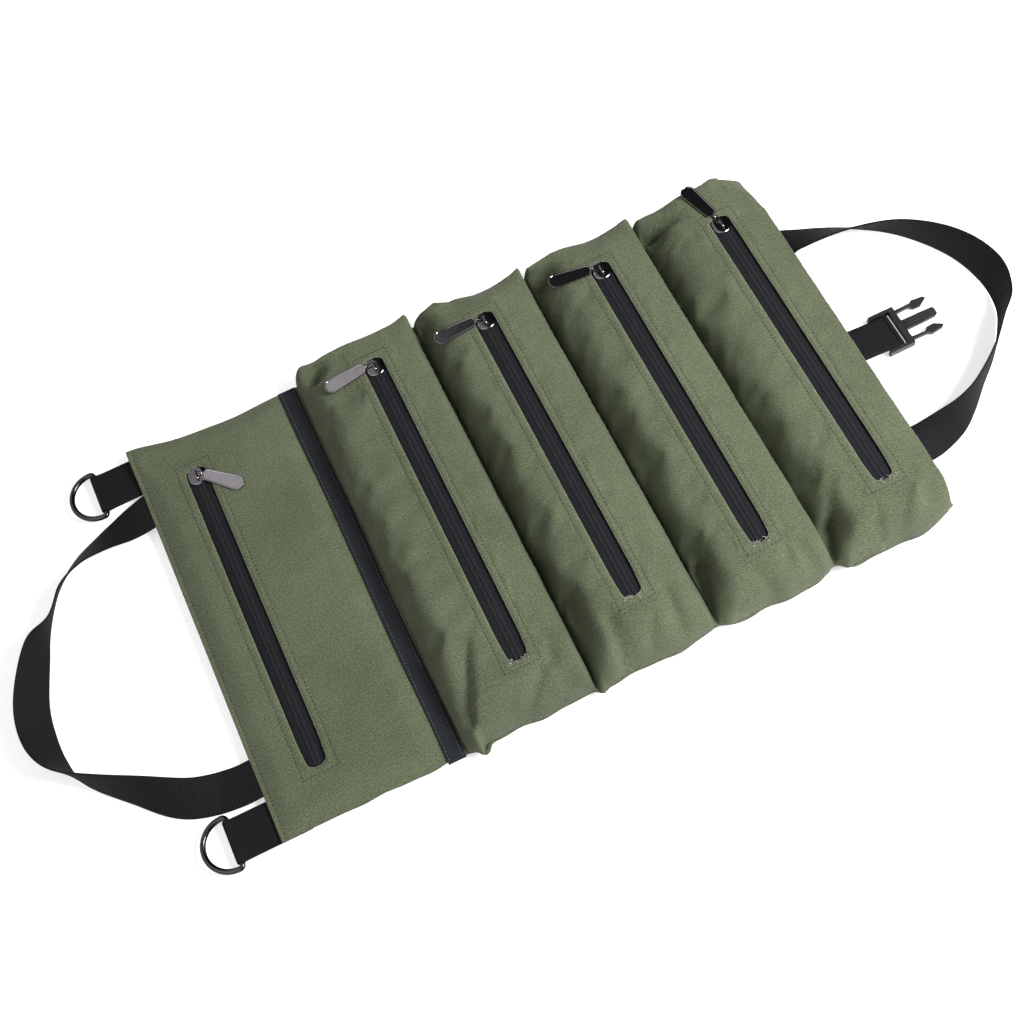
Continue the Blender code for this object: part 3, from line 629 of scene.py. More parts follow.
def sheet_lift(x, y):
    """How far the ends of the sheet curl up off their level."""
    near = mounds(x, NEAR_CURLS) * smooth((-np.asarray(y) - 110 * MM) / (68 * MM)) ** 2
    far = mounds(x, FAR_CURLS) * smooth((np.asarray(y) - 120 * MM) / (58 * MM)) ** 2
    return near + far


def table(values, rows):
    """Straight-line interpolation in a table of (place, value) rows."""
    places, results = zip(*rows)
    return np.interp(values, places, results)


def swell(share, power, softness):
    """Rise from 0 to 1 that starts steeply and rounds over at the top."""
    share = np.clip(share, 0.0, 1.0)
    return (1 - (1 - share) ** power) ** softness


def crease_depth(x, y, crease):
    """Depth of one crease at points: a soft-edged line whose two sides fall off differently."""
    x1, y1, x2, y2, left, right, start, end = crease
    run, climb = x2 - x1, y2 - y1
    length = math.hypot(run, climb)
    along = ((x - x1) * run + (y - y1) * climb) / length
    side = ((x - x1) * climb - (y - y1) * run) / length
    beyond = np.maximum(0, np.maximum(-along, along - length))
    depth = start + (end - start) * np.clip(along / length, 0, 1)
    reach = np.where(side < 0, right, left)
    return 1.8 * depth * np.exp(-(side / (1.2 * reach)) ** 2 - (beyond / 6) ** 2)


def pocket_points(index):
    """Stuffed pocket's canvas as a grid of points, its rows running across and columns along."""
    panel, shape = PANEL[index], POCKETS[index]
    left_foot = panel["left"] + SEAM_INSET
    right_foot = panel["right"] - SEAM_INSET
    width = right_foot - left_foot
    outer = panel["window_half"] + WINDOW_MARGIN
    turns = np.linspace(0, math.pi / 2, FLANK_ROWS + 1)[:-1]
    inner = column_places(panel, panel["zip"] - outer, panel["zip"] + outer)
    low, high = panel["window_low"] - WINDOW_MARGIN, panel["window_high"] + WINDOW_MARGIN
    middle = row_places(panel, low, high)
    left_cells = max(2, round((panel["zip"] - outer - left_foot - LEFT_FLANK) / COLUMN_PITCH))
    right_cells = max(2, round((right_foot - RIGHT_FLANK - panel["zip"] - outer) / COLUMN_PITCH))
    kinds = [("left", t) for t in turns] + [("inner left", k / left_cells) for k in range(left_cells)]
    kinds += [("middle", x) for x in inner]
    kinds += [("inner right", (k + 1) / right_cells) for k in range(right_cells)]
    kinds += [("right", t) for t in reversed(turns)]

    def column_x(kind, value, left_top, right_top):
        """X of one column of the grid, given where the two flanks end."""
        if kind == "left":
            return left_top + (left_foot - left_top) * math.cos(value)
        if kind == "inner left":
            return left_top + (panel["zip"] - outer - left_top) * value
        if kind == "inner right":
            return panel["zip"] + outer + (right_top - panel["zip"] - outer) * value
        if kind == "right":
            return right_top + (right_foot - right_top) * math.cos(value)
        return value

    points = []
    for kind, value in kinds:
        x = column_x(kind, value, left_foot + LEFT_FLANK, right_foot - RIGHT_FLANK)
        share = (x - left_foot) / width
        far_length = float(table(share, shape["far"])) * MM
        bottom, top = float(near_edge(x)) + 0.6 * MM, float(far_edge(x)) - 0.6 * MM
        slope_rows = [bottom + (low - bottom) * (1 - math.cos(t)) for t in
                      np.linspace(0, math.pi / 2, 19)[:-1]]
        flat_rows = [high + (top - far_length - high) * (k + 1) / 7 for k in range(7)]
        end_rows = [top - far_length * (1 - math.cos(t)) for t in reversed(turns)]
        y = np.array(slope_rows + middle + flat_rows + end_rows)
        left_width = table(y / MM, shape["left"]) * MM
        right_width = table(y / MM, shape["right"]) * MM
        left_top = np.minimum(left_foot + left_width, panel["zip"] - outer - 1 * MM)
        right_top = np.maximum(right_foot - right_width, panel["zip"] + outer + 1 * MM)
        x = column_x(kind, value, left_top, right_top) + 0 * y
        across = swell((x - left_foot) / (left_top - left_foot), 1.8, shape["softness"])
        across *= swell((right_foot - x) / (right_foot - right_top), 2.6, 0.42)
        along = swell((y - bottom) / (float(table(share, shape["near"])) * MM), 2.0, 0.62)
        along *= swell((top - y) / far_length, 2.4, 0.45)
        away_x, away_y = (x - panel["left"]) / MM, y / MM
        raised = sum(h * np.exp(-((away_x - bx) / rx) ** 2 - ((away_y - by) / ry) ** 2)
                     for bx, by, rx, ry, h in shape["bumps"])
        sunk = sum(crease_depth(away_x, away_y, crease) for crease in shape["creases"])
        near_zip = smooth((np.abs(x - panel["zip"]) - 11 * MM) / (12 * MM))
        beside = np.maximum(near_zip, smooth((np.abs(y - 4 * MM) - 148 * MM) / (8 * MM)))
        crown = -2.2 * near_zip * ((x - panel["zip"]) / (36 * MM)) ** 2
        foot = SHEET_LEVEL + 1.0 * MM + sheet_lift(x, y)
        height = panel["canvas_top"] - foot + (crown + (raised - sunk) * beside) * MM
        z = foot + np.maximum(height, 2 * MM) * across * along
        points.append(np.stack([x, y, z], axis=1))
    return np.array(points)


def set_group(obj, name, weights):
    group = obj.vertex_groups.new(name=name)
    for index, weight in enumerate(weights):
        if weight > 0.0:
            group.add([index], float(weight), "REPLACE")
    return group.name


def relax(obj, pin):
    """Let Blender's cloth settle the canvas under a little pressure, then keep the result."""
    rest = np.array([v.co for v in obj.data.vertices])
    modifier = obj.modifiers.new("cloth", "CLOTH")
    cloth = modifier.settings
    cloth.quality = 5
    cloth.mass = 0.3
    cloth.tension_stiffness = 15
    cloth.compression_stiffness = 15
    cloth.shear_stiffness = 5
    cloth.bending_stiffness = 8.0
    cloth.vertex_group_mass = set_group(obj, "pin", pin)
    cloth.shrink_min = -CLOTH_GROWTH
    cloth.use_pressure = True
    cloth.uniform_pressure_force = CLOTH_PRESSURE
    cloth.effector_weights.gravity = 0.0
    modifier.collision_settings.use_collision = False
    modifier.point_cache.frame_start = 1
    modifier.point_cache.frame_end = CLOTH_FRAMES
    scene = bpy.context.scene
    for number in range(1, CLOTH_FRAMES + 1):
        scene.frame_set(number)
    apply_modifiers(obj)
    scene.frame_set(1)
    return rest, np.array([v.co for v in obj.data.vertices]) - rest


def make_pocket(index):
    """One stuffed pocket front: simulated canvas with a hemmed window, riding on its panel."""
    panel = PANEL[index]
    points = pocket_points(index)
    name = f"pocket_{index + 1}_canvas"
    obj = grid_object(name, points, arc_uv(points), CANVAS,
                      lambda c: rounded_gap(c[0], c[1], panel) > 0)
    snap_window(obj, panel)
    rows, columns = points.shape[:2]
    grid_i, grid_j = np.divmod(np.arange(rows * columns), columns)
    rim = (grid_i == 0) | (grid_i == rows - 1) | (grid_j == 0) | (grid_j == columns - 1)
    near_window = np.array([rounded_gap(v.co.x, v.co.y, panel) < 8.0 * MM
                            for v in obj.data.vertices])
    places = np.array([v.co for v in obj.data.vertices])
    held = 0.95 * smooth((places[:, 1] - 125 * MM) / (20 * MM))
    held += 0.6 * smooth((-110 * MM - places[:, 1]) / (20 * MM))
    ridge = 0.92 * smooth((places[:, 0] - panel["right"] + 26 * MM) / (8 * MM))
    pin = np.maximum.reduce([(rim | near_window).astype(float), held, ridge])
    rest, moved = relax(obj, pin)
    size = np.linalg.norm(moved, axis=1)
    scale = np.minimum(1.0, CLOTH_LIMIT / np.maximum(size, 1e-9))
    places = rest + moved * scale[:, None]
    obj.data.vertices.foreach_set("co", places.astype(np.float32).ravel())
    normals = [v.normal.copy() for v in obj.data.vertices]
    clearance = tab_clearance(index)
    for vert, normal in zip(obj.data.vertices, normals):
        x, y, z = vert.co
        relief = hem_relief(x, y, panel) if z > panel["canvas_top"] - 6 * MM else 0.0
        relief += 0.45 * MM * wander(x, y, z, 45, index)
        place = vert.co + normal * relief
        if z > SHEET_LEVEL + 8 * MM:
            place.z = min(place.z, panel["canvas_top"] + clearance(x, y))
        vert.co = place
    thicken(obj, CANVAS_THICKNESS)
    attach(obj, f"panel_{index + 1}", "canvas", f"pocket_{index + 1}_front")
    return obj


def tab_clearance(index):
    """How far the canvas may rise above its flat top, kept low round the slider and pull tab."""
    slider = Vector(JOINT[f"pull_{index + 1}_swivel"]["pos_m"][:2])
    low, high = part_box(f"zip_{index + 1}_pull_tab")

    def clearance(x, y):
        place = Vector((x, y))
        nearest = Vector((min(max(x, low.x), high.x), min(max(y, low.y), high.y)))
        reach = min((place - nearest).length, (place - slider).length)
        return 0.1 * MM + 7.0 * MM * float(smooth(reach / (22 * MM)))

    return clearance


# ---- flat first pocket -------------------------------------------------------------------------

PADDLE_SWEEP = 47 * MM                  # the pull tab swings over this much of the flat pocket
FLAT_DIPS = ((55, 160, 1.8), (122, 150, 1.4), (24, -150, 1.2))


def make_flat_pocket():
    """The first pocket lies flat: two layers of canvas with a slight pillow between the hems."""
    panel = PANEL[0]
    left = panel["left"] + 0.4 * MM
    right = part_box("edge_band")[0].x + 3 * MM
    end = HALF_WIDTH - 0.5 * MM
    base = SHEET_LEVEL + 1.6 * MM
    height = panel["canvas_top"] - base
    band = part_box("edge_band")[0].x
    edge = [left + d * MM for d in (0, 0.8, 2.0, 3.2, 4.0, 4.8, 6.5)]
    columns = edge[:-1] + column_places(panel, edge[-1], right)
    steps = [d * MM for d in (0, 0.8, 2.0, 3.4, 5.0)]
    rows = [-end + s for s in steps] + row_places(panel, -end + 7 * MM, end - 7 * MM)
    rows += [end - s for s in reversed(steps)]
    points = []
    for x in columns:
        line = []
        for y in rows:
            rise = smooth((x - left) / (20 * MM)) * smooth((end - abs(y)) / (15 * MM))
            rise *= smooth((band + 1 * MM - x) / (16 * MM))
            dips = sum(depth * math.exp(-(((x - left) / MM - at) / 16) ** 2 - ((y / MM - up) / 11) ** 2)
                       for at, up, depth in FLAT_DIPS)
            z = base - 0.5 * MM * smooth((x - band + 3 * MM) / (4 * MM))
            z += (height + (0.9 * wander(x, y, 0, 16, 5) - dips) * MM) * rise
            z -= 0.5 * MM * math.exp(-((x - left - 4 * MM) / (0.8 * MM)) ** 2)
            place = float(to_outline(x, y))
            line.append((x, place, z + float(sheet_lift(x, place))))
        points.append(line)
    points = np.array(points)
    obj = grid_object("pocket_1_canvas", points, arc_uv(points), CANVAS,
                      lambda c: rounded_gap(c[0], c[1], panel) > 0)
    snap_window(obj, panel)
    swing = Vector(JOINT["pull_1_swivel"]["pos_m"][:2])
    for vert in obj.data.vertices:
        relief = hem_relief(vert.co.x, vert.co.y, panel)
        away = (Vector(vert.co[:2]) - swing).length - PADDLE_SWEEP
        ceiling = panel["canvas_top"] + 0.1 * MM + 7 * MM * float(smooth(away / (22 * MM)))
        vert.co.z = min(vert.co.z + relief, ceiling)
    thicken(obj, CANVAS_THICKNESS)
    attach(obj, "panel_1", "canvas", "pocket_1_front")
    return obj


# ---- back sheet --------------------------------------------------------------------------------

def quarter(value):
    value = min(max(value, 0.0), 1.0)
    return math.sqrt(max(0.0, 1.0 - (1.0 - value) ** 2))


def belly(index, x, y):
    """How far the back sheet bulges down under a stuffed pocket."""
    if index == 0:
        return 0.0
    panel = PANEL[index]
    middle = (panel["left"] + panel["right"]) / 2
    inner = (panel["right"] - panel["left"]) / 2 - 4 * MM
    depth = SHEET_LEVEL - SHEET_HALF_THICKNESS - 0.3 * MM
    across = quarter((inner - abs(x - middle)) / (0.5 * inner))
    along = quarter((HALF_WIDTH * 0.985 - abs(y)) / (0.22 * HALF_WIDTH))
    return depth * across * along


def make_back_sheet(index):
    """Back canvas from the middle of one panel to the middle of the next, with close columns at the fold."""
    first, second = PANEL[index], PANEL[index + 1]
    fold = first["right"]
    start = first["left"] + 0.2 * MM if index == 0 else (first["left"] + first["right"]) / 2
    last = index == PANELS - 2
    stop = second["right"] - 0.2 * MM if last else (second["left"] + second["right"]) / 2
    columns = even_steps(start, fold - 6 * MM, 3.5 * MM) + even_steps(fold - 6 * MM, fold + 6 * MM, 1.0 * MM)
    columns += even_steps(fold + 6 * MM, stop, 3.5 * MM) + [stop]
    end = HALF_WIDTH - 0.2 * MM
    rows = even_steps(-end, end, 4.0 * MM) + [end]
    points = []
    for x in columns:
        side = index if x < fold else index + 1
        line = []
        for y in rows:
            place = float(to_outline(x, y))
            z = SHEET_LEVEL - belly(side, x, y) + float(sheet_lift(x, place))
            z += 0.35 * MM * wander(x, y, 0, 30, 9)
            line.append((x, place, z))
        points.append(line)
    points = np.array(points)
    name = f"back_canvas_{index + 1}{index + 2}"
    obj = grid_object(name, points, arc_uv(points), CANVAS)
    thicken(obj, BACK_THICKNESS, 0.0)
    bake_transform(obj)
    nodes = [f"back_panel_{index + 1}"] + ([f"back_panel_{PANELS}"] if last else [])
    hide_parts(*nodes)


# ---- stitches and threads ----------------------------------------------------------------------

def surface_of(*objects):
    return [BVHTree.FromObject(o, bpy.context.evaluated_depsgraph_get()) for o in objects]


def drop_on(trees, x, y, top=0.2):
    """Highest surface point under (x, y)."""
    best = None
    for tree in trees:
        hit, normal, _, _ = tree.ray_cast(Vector((x, y, top)), Vector((0, 0, -1)))
        if hit and (best is None or hit.z > best[0].z):
            best = (hit, normal)
    return best


def add_capsule(vertices, faces, start, end, up, radius, sides=6):
    """Short rounded thread between two points."""
    axis = end - start
    length = axis.length
    axis.normalize()
    side = axis.cross(up).normalized()
    up = side.cross(axis)
    rings = ((0.0, 0.25), (0.18, 0.85), (0.5, 1.0), (0.82, 0.85), (1.0, 0.25))
    base = len(vertices)
    for share, swell in rings:
        centre = start + axis * length * share
        for k in range(sides):
            turn = 2 * math.pi * k / sides
            vertices.append(centre + (side * math.cos(turn) + up * math.sin(turn)) * radius * swell)
    faces += tube_faces(len(rings), sides, base)


def walk(path, pitch):
    """Points at an even pitch along a polyline."""
    points = [Vector(p) for p in path]
    result, carry = [], 0.0
    for a, b in zip(points, points[1:]):
        length = (b - a).length
        place = carry
        while place < length:
            result.append((a + (b - a) * place / length, (b - a).normalized()))
            place += pitch
        carry = place - length
    return result


def stitch_line(name, paths, trees, body, slot, material=THREAD):
    """Lock stitches along flat paths, laid on whatever canvas lies below."""
    vertices, faces = [], []
    for path in paths:
        for place, direction in walk([(x, y, 0) for x, y in path], STITCH_PITCH):
            ends = []
            for along in (-STITCH_LENGTH / 2, STITCH_LENGTH / 2):
                point = place + direction * along
                found = drop_on(trees, point.x, point.y)
                if found:
                    ends.append(found)
            if len(ends) == 2 and abs(ends[0][0].z - ends[1][0].z) < 2 * MM:
                up = ends[0][1]
                lift = up * STITCH_RADIUS * 0.35
                add_capsule(vertices, faces, ends[0][0] + lift, ends[1][0] + lift, up, STITCH_RADIUS)
    attach(new_object(name, vertices, faces, material), body, slot)


def window_path(panel, offset):
    """Square-cornered stitch rectangle round a zip window."""
    half = panel["window_half"] + offset
    left, right = panel["zip"] - half, panel["zip"] + half
    low, high = panel["window_low"] - offset, panel["window_high"] + offset
    return [(left, low), (right, low), (right, high), (left, high), (left, low)]


def make_window_edge(index, canvas):
    """Pale folded edge of the canvas round a zip window."""
    panel = PANEL[index]
    vertices, faces = [], []
    trees = surface_of(canvas)
    up = Vector((0, 0, 1))
    outline = [(x + math.copysign(0.45 * MM, x - panel["zip"]), y) for x, y in window_outline(panel)]
    path = [(x, y, drop_on(trees, x, y)) for x, y in outline]
    points = [Vector((x, y, found[0].z - 0.12 * MM)) for x, y, found in path if found]
    for start, end in zip(points, points[1:]):
        if 0.2 * MM < (end - start).length < 8 * MM and abs(end.z - start.z) < 1 * MM:
            past_end = end + (end - start).normalized() * 0.2 * MM
            add_capsule(vertices, faces, start, past_end, up, EDGE_RADIUS)
    edge = new_object(f"window_edge_{index + 1}", vertices, faces, EDGE_YARN)
    attach(edge, f"panel_{index + 1}", "canvas")


def make_frayed_yarns(index):
    """Loose pale yarns at the near end of a window."""
    panel = PANEL[index]
    rng = random.Random(40 + index)
    up = Vector((0, 0, 1))
    vertices, faces = [], []
    for _ in range(FRAY_COUNT):
        side = rng.choice((-1, 1))
        x = panel["zip"] + side * panel["window_half"] * rng.uniform(0.30, 0.95)
        y = panel["window_low"] + rng.uniform(-0.8, 2.6) * MM
        heading = rng.uniform(0, 2 * math.pi)
        bend = rng.uniform(-0.9, 0.9)
        place = Vector((x, y, panel["canvas_top"] + 0.5 * MM))
        for _ in range(rng.randint(2, 4)):
            ahead = place + Vector((math.cos(heading), math.sin(heading),
                                    rng.uniform(-0.3, 0.35))) * FRAY_STEP
            add_capsule(vertices, faces, place, ahead, up, FRAY_RADIUS, 5)
            place = ahead
            heading += bend
    obj = new_object(f"frayed_yarn_{index + 1}", vertices, faces, PALE_THREAD)
    attach(obj, f"panel_{index + 1}", "canvas")


# ---- zips --------------------------------------------------------------------------------------

def make_zip(index):
    """Both tapes of a closed zip in one strip, its knitted middle raised."""
    panel = PANEL[index]
    edge = panel["window_half"] + TAPE_OVERLAP
    profile = [(edge, -0.5), (7.5 * MM, -0.15), (4.6 * MM, 0.0), (3.9 * MM, 0.05), (3.6 * MM, -0.25),
               (3.3 * MM, 0.45), (2.6 * MM, 0.7), (1.4 * MM, 0.75), (0.5 * MM, 0.55), (0.12 * MM, 0.1)]
    across = [(-x, z) for x, z in profile] + [(x, z) for x, z in reversed(profile)]
    low, high = panel["window_low"] - TAPE_OVERLAP, panel["window_high"] + TAPE_OVERLAP
    rows = even_steps(low, high, 3.0 * MM) + [high]
    level = panel["tape_top"] - 0.1 * MM
    points = np.array([[(panel["zip"] + x, y, level + z * MM) for y in rows] for x, z in across])
    obj = grid_object(f"zip_{index + 1}_tapes", points, arc_uv(points), TAPE)
    thicken(obj, 0.6 * MM)
    number = index + 1
    attach(obj, f"panel_{number}", "zip_tape", f"zip_{number}_left_tape", f"zip_{number}_right_tape")
    make_knit(index, level)


def make_knit(index, level):
    """Slanted yarn loops either side of the zip's middle line."""
    panel = PANEL[index]
    vertices, faces = [], []
    y = panel["window_low"] - 1 * MM
    up = Vector((0, 0, 1))
    while y < panel["window_high"]:
        for side in (-1, 1):
            start = Vector((panel["zip"] + side * 0.35 * MM, y, level + 0.68 * MM))
            end = Vector((panel["zip"] + side * 1.75 * MM, y + 0.75 * MM, level + 0.85 * MM))
            add_capsule(vertices, faces, start, end, up, 0.34 * MM, 5)
            outer = Vector((panel["zip"] + side * 3.1 * MM, y - 0.25 * MM, level + 0.60 * MM))
            inner = Vector((panel["zip"] + side * 1.85 * MM, y + 0.6 * MM, level + 0.80 * MM))
            add_capsule(vertices, faces, inner, outer, up, 0.28 * MM, 5)
        y += KNIT_PITCH
    attach(new_object(f"zip_{index + 1}_knit", vertices, faces, KNIT), f"panel_{index + 1}", "zip_tape")


def shield(bm, length, width, levels):
    """Closed shield-shaped plate, square at its open end and round towards -Y; levels: (z, inset)."""
    half = width / 2
    outline = [(half * 0.72, length / 2), (0.0, length / 2), (-half * 0.72, length / 2),
               (-half, length * 0.22)]
    steps = 14
    for k in range(steps + 1):
        turn = math.pi + math.pi * k / steps
        outline.append((half * math.cos(turn), -length * 0.12 + length * 0.38 * math.sin(turn)))
    outline.append((half, length * 0.22))
    rings = []
    for z, inset in levels:
        share = 1 - inset / half
        rings.append([bm.verts.new((x * share, y * share, z)) for x, y in outline])
    skin(bm, rings)


def add_tube(bm, path, wide, high, sides=12):
    """Oval bar swept along a path in the YZ plane."""
    rings = []
    for k, (y, z) in enumerate(path):
        ahead, behind = path[min(k + 1, len(path) - 1)], path[max(k - 1, 0)]
        slope = Vector((0, ahead[0] - behind[0], ahead[1] - behind[1])).normalized()
        up = Vector((0, -slope.z, slope.y))
        ring = []
        for s in range(sides):
            turn = 2 * math.pi * s / sides
            offset = Vector((wide * math.cos(turn), 0, 0)) + up * high * math.sin(turn)
            ring.append(bm.verts.new(Vector((0, y, z)) + offset))
        rings.append(ring)
    skin(bm, rings)


def make_slider(index):
    """Cast slider: domed upper body, lower plate, the post between them and an arched crown."""
    number = index + 1
    low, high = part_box(f"zip_{number}_slider")
    centre = (low + high) / 2
    length, width = high.y - low.y, high.x - low.x
    plate = PANEL[index]["tape_top"] + 0.4 * MM
    bm = bmesh.new()
    shield(bm, length, width, [(0.0, 0.5 * MM), (0.3 * MM, 0.0), (0.9 * MM, 0.0), (1.35 * MM, 0.5 * MM),
                               (1.6 * MM, 1.5 * MM), (1.75 * MM, 3.2 * MM)])
    below = low.z - plate
    shield(bm, length * 0.94, width * 0.86, [(below, 0.5 * MM), (below + 0.4 * MM, 0.0),
                                             (below + 1.0 * MM, 0.0), (below + 1.4 * MM, 0.4 * MM)])
    add_tube(bm, [(3.4 * MM, below + 0.6 * MM), (3.4 * MM, 0.8 * MM)], 0.5 * MM, 2.2 * MM)
    rise, span = high.z - plate - 0.75 * MM, 4.4 * MM
    arch = [(-span, 0.9 * MM)]
    for k in range(13):
        turn = math.pi * k / 12
        arch.append((-span * math.cos(turn), 1.5 * MM + (rise - 1.5 * MM) * math.sin(turn) ** 0.6))
    arch.append((span, 0.9 * MM))
    add_tube(bm, arch, 1.15 * MM, 0.6 * MM)
    obj = object_from_bmesh(f"zip_{number}_slider_body", bm, SLIDER_METAL)
    obj.data.transform(Matrix.Translation((centre.x, centre.y, plate)))
    obj.data.shade_smooth()
    obj.data.set_sharp_from_angle(angle=math.radians(38))
    attach(obj, f"slider_{number}", "zip_metal", f"zip_{number}_slider")


def bevel_edges(obj, width, segments, limit):
    bevel = obj.modifiers.new("edges", "BEVEL")
    bevel.width = width
    bevel.segments = segments
    bevel.limit_method = "ANGLE"
    bevel.angle_limit = math.radians(limit)


def dress_cad_piece(node, width, material):
    """Keep a CAD piece's shape, round its edges and give it a material."""
    obj = frame["nodes"][node]
    obj.data.materials.clear()
    obj.data.materials.append(material)
    bevel_edges(obj, width, 2, 35)


PADDLE_REACH, PADDLE_WIDTH = 39.1 * MM, 13.0 * MM     # from the ring's pin to the tip
FLAT_FACE = 4 * MM * MM                  # metal faces larger than this are shaded flat


def make_pull_tab(index):
    """Paddle with a raised rim round a shallow face, and a knuckle round the ring."""
    number = index + 1
    lift, swivel = JOINT[f"pull_{number}_lift"], JOINT[f"pull_{number}_swivel"]
    pin = Vector(lift["pos_m"])
    heading = (pin - Vector(swivel["pos_m"])).normalized()
    length, half, root, neck = PADDLE_REACH, PADDLE_WIDTH / 2, 2.6 * MM, 1.3 * MM
    outline = [(1.0 * MM, -neck), (1.9 * MM, -neck), (root, -half * 0.52), (root + 1.6 * MM, -half * 0.74)]
    steps = 20
    outline += [(length - half + half * math.sin(math.pi * k / steps),
                 -half * math.cos(math.pi * k / steps)) for k in range(steps + 1)]
    outline += [(x, -y) for x, y in reversed(outline[:4])]
    thick = 0.78 * MM
    bm = bmesh.new()
    upper = bm.faces.new([bm.verts.new((x, y, thick)) for x, y in outline])
    lower = bm.faces.new([bm.verts.new((x, y, -thick)) for x, y in reversed(outline)])
    up, down = list(upper.verts), list(reversed(lower.verts))
    for i in range(len(up)):
        j = (i + 1) % len(up)
        bm.faces.new((down[i], down[j], up[j], up[i]))
    bmesh.ops.recalc_face_normals(bm, faces=bm.faces)
    for face in (upper, lower):
        bmesh.ops.inset_region(bm, faces=[face], thickness=0.75 * MM, depth=0.0)
        bmesh.ops.inset_region(bm, faces=[face], thickness=0.25 * MM, depth=-0.22 * MM)
    obj = object_from_bmesh(f"zip_{number}_paddle", bm, ZIP_METAL)
    bevel_edges(obj, 0.22 * MM, 3, 30)
    obj.matrix_world = Matrix.Translation(pin) @ Matrix.Rotation(math.atan2(heading.y, heading.x), 4, "Z")
    knuckle = tube_object(f"zip_{number}_knuckle", ZIP_METAL, 0.78 * MM, 1.35 * MM, 1.1 * MM)
    knuckle.matrix_world = obj.matrix_world.copy()
    for piece in (obj, knuckle):
        bpy.context.view_layer.update()
        apply_modifiers(piece)
        piece.data.shade_smooth()
        for polygon in piece.data.polygons:
            polygon.use_smooth = polygon.area < FLAT_FACE
        attach(piece, f"pull_tab_{number}", "zip_metal")
    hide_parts(f"zip_{number}_pull_tab")


def tube_object(name, material, inner, outer, half_length):
    """Short tube along Y with rounded rims."""
    sides = 20
    profile = [(inner, -half_length), (outer - 0.15 * MM, -half_length), (outer, -half_length + 0.15 * MM),
               (outer, half_length - 0.15 * MM), (outer - 0.15 * MM, half_length), (inner, half_length)]
    vertices = [(r * math.cos(2 * math.pi * k / sides), y, r * math.sin(2 * math.pi * k / sides))
                for r, y in profile for k in range(sides)]
    faces = [tuple(reversed(f)) for f in tube_faces(len(profile), sides, closed=True)]
    return new_object(name, vertices, faces, material)


# ---- webbing -----------------------------------------------------------------------------------

def resample(points, spacing):
    """Even stations along a curve of (x, y, z, extra...) rows, by distance."""
    points = np.array(points, float)
    step = np.linalg.norm(np.diff(points[:, :3], axis=0), axis=1)
    distance = np.concatenate([[0], np.cumsum(step)])
    count = max(4, int(distance[-1] / spacing))
    places = np.linspace(0, distance[-1], count + 1)
    columns = [np.interp(places, distance, points[:, k]) for k in range(points.shape[1])]
    return np.stack(columns, axis=1), places


def webbing_object(name, centres, acrosses, width, thickness, distances, material, rib=0.13 * MM):
    """Ribbed webbing swept along centres; each station has its own direction across the strap."""
    count = len(centres)
    tangents = np.gradient(centres, axis=0)
    tangents /= np.linalg.norm(tangents, axis=1)[:, None]
    normals = np.cross(tangents, acrosses)
    normals /= np.linalg.norm(normals, axis=1)[:, None]
    shares = np.array([-1, -0.97, -0.9, -0.6, -0.2, 0.2, 0.6, 0.9, 0.97, 1])
    thin = np.array([0.35, 0.8, 1, 1, 1, 1, 1, 1, 0.8, 0.35])
    wave = np.abs(np.cos(math.pi * distances / RIB_PITCH)) * 2 * rib - rib
    edge_wave = np.cos(2 * math.pi * distances / RIB_PITCH) * 0.15 * MM
    vertices, uvs = [], []
    for k in range(count):
        half = width / 2 + edge_wave[k]
        for face in (1, -1):
            order = range(len(shares)) if face > 0 else reversed(range(len(shares)))
            for s in order:
                rise = (thickness / 2 + wave[k] * (thin[s] == 1)) * thin[s]
                vertices.append(centres[k] + acrosses[k] * shares[s] * half
                                + normals[k] * face * rise)
                uvs.append((shares[s] * half, distances[k]))
    obj = new_object(name, vertices, tube_faces(count, 2 * len(shares)), material, uvs)
    bm = bmesh.new()
    bm.from_mesh(obj.data)
    bmesh.ops.recalc_face_normals(bm, faces=bm.faces)
    bm.to_mesh(obj.data)
    bm.free()
    return obj


def spline(points, steps):
    """Catmull-Rom curve through tuples."""
    padded = [points[0]] + list(points) + [points[-1]]
    result = []
    for k in range(1, len(padded) - 2):
        p0, p1, p2, p3 = (np.array(p, float) for p in padded[k - 1:k + 3])
        for s in range(steps):
            t = s / steps
            result.append(0.5 * (2 * p1 + (p2 - p0) * t + (2 * p0 - 5 * p1 + 4 * p2 - p3) * t ** 2
                                 + (3 * p1 - p0 - 3 * p2 + p3) * t ** 3))
    result.append(np.array(points[-1], float))
    return result


HANDLE_WIDTH, HANDLE_THICKNESS, HANDLE_FLOOR = 32 * MM, 1.5 * MM, 1.5 * MM

# reach beyond the edge, place along it, and roll of the webbing in degrees
LEFT_LOOP = [(0.6, 128.0, 0), (20, 125.5, 12), (45, 119, 37), (68, 111, 53), (89, 95.5, 65),
             (105, 71.5, 72), (122, 52.5, 108), (140, 14, 128), (144, -16, 131), (138, -42.5, 114),
             (123, -64, 86), (89, -90, 58), (55, -112, 22), (20, -120.5, 5), (0.6, -122.5, 0)]
RIGHT_LOOP = [(0.6, 106, 0), (16, 104.5, -25), (55, 91, -54), (94, 69, -80), (125, 35, -102),
              (138, 0, -114), (133, -30, -104), (118, -50, -90), (100, -69, -86), (80, -85, -82),
              (62, -98, -71), (42, -107, -51), (14, -111, -20), (0.6, -110, 0)]


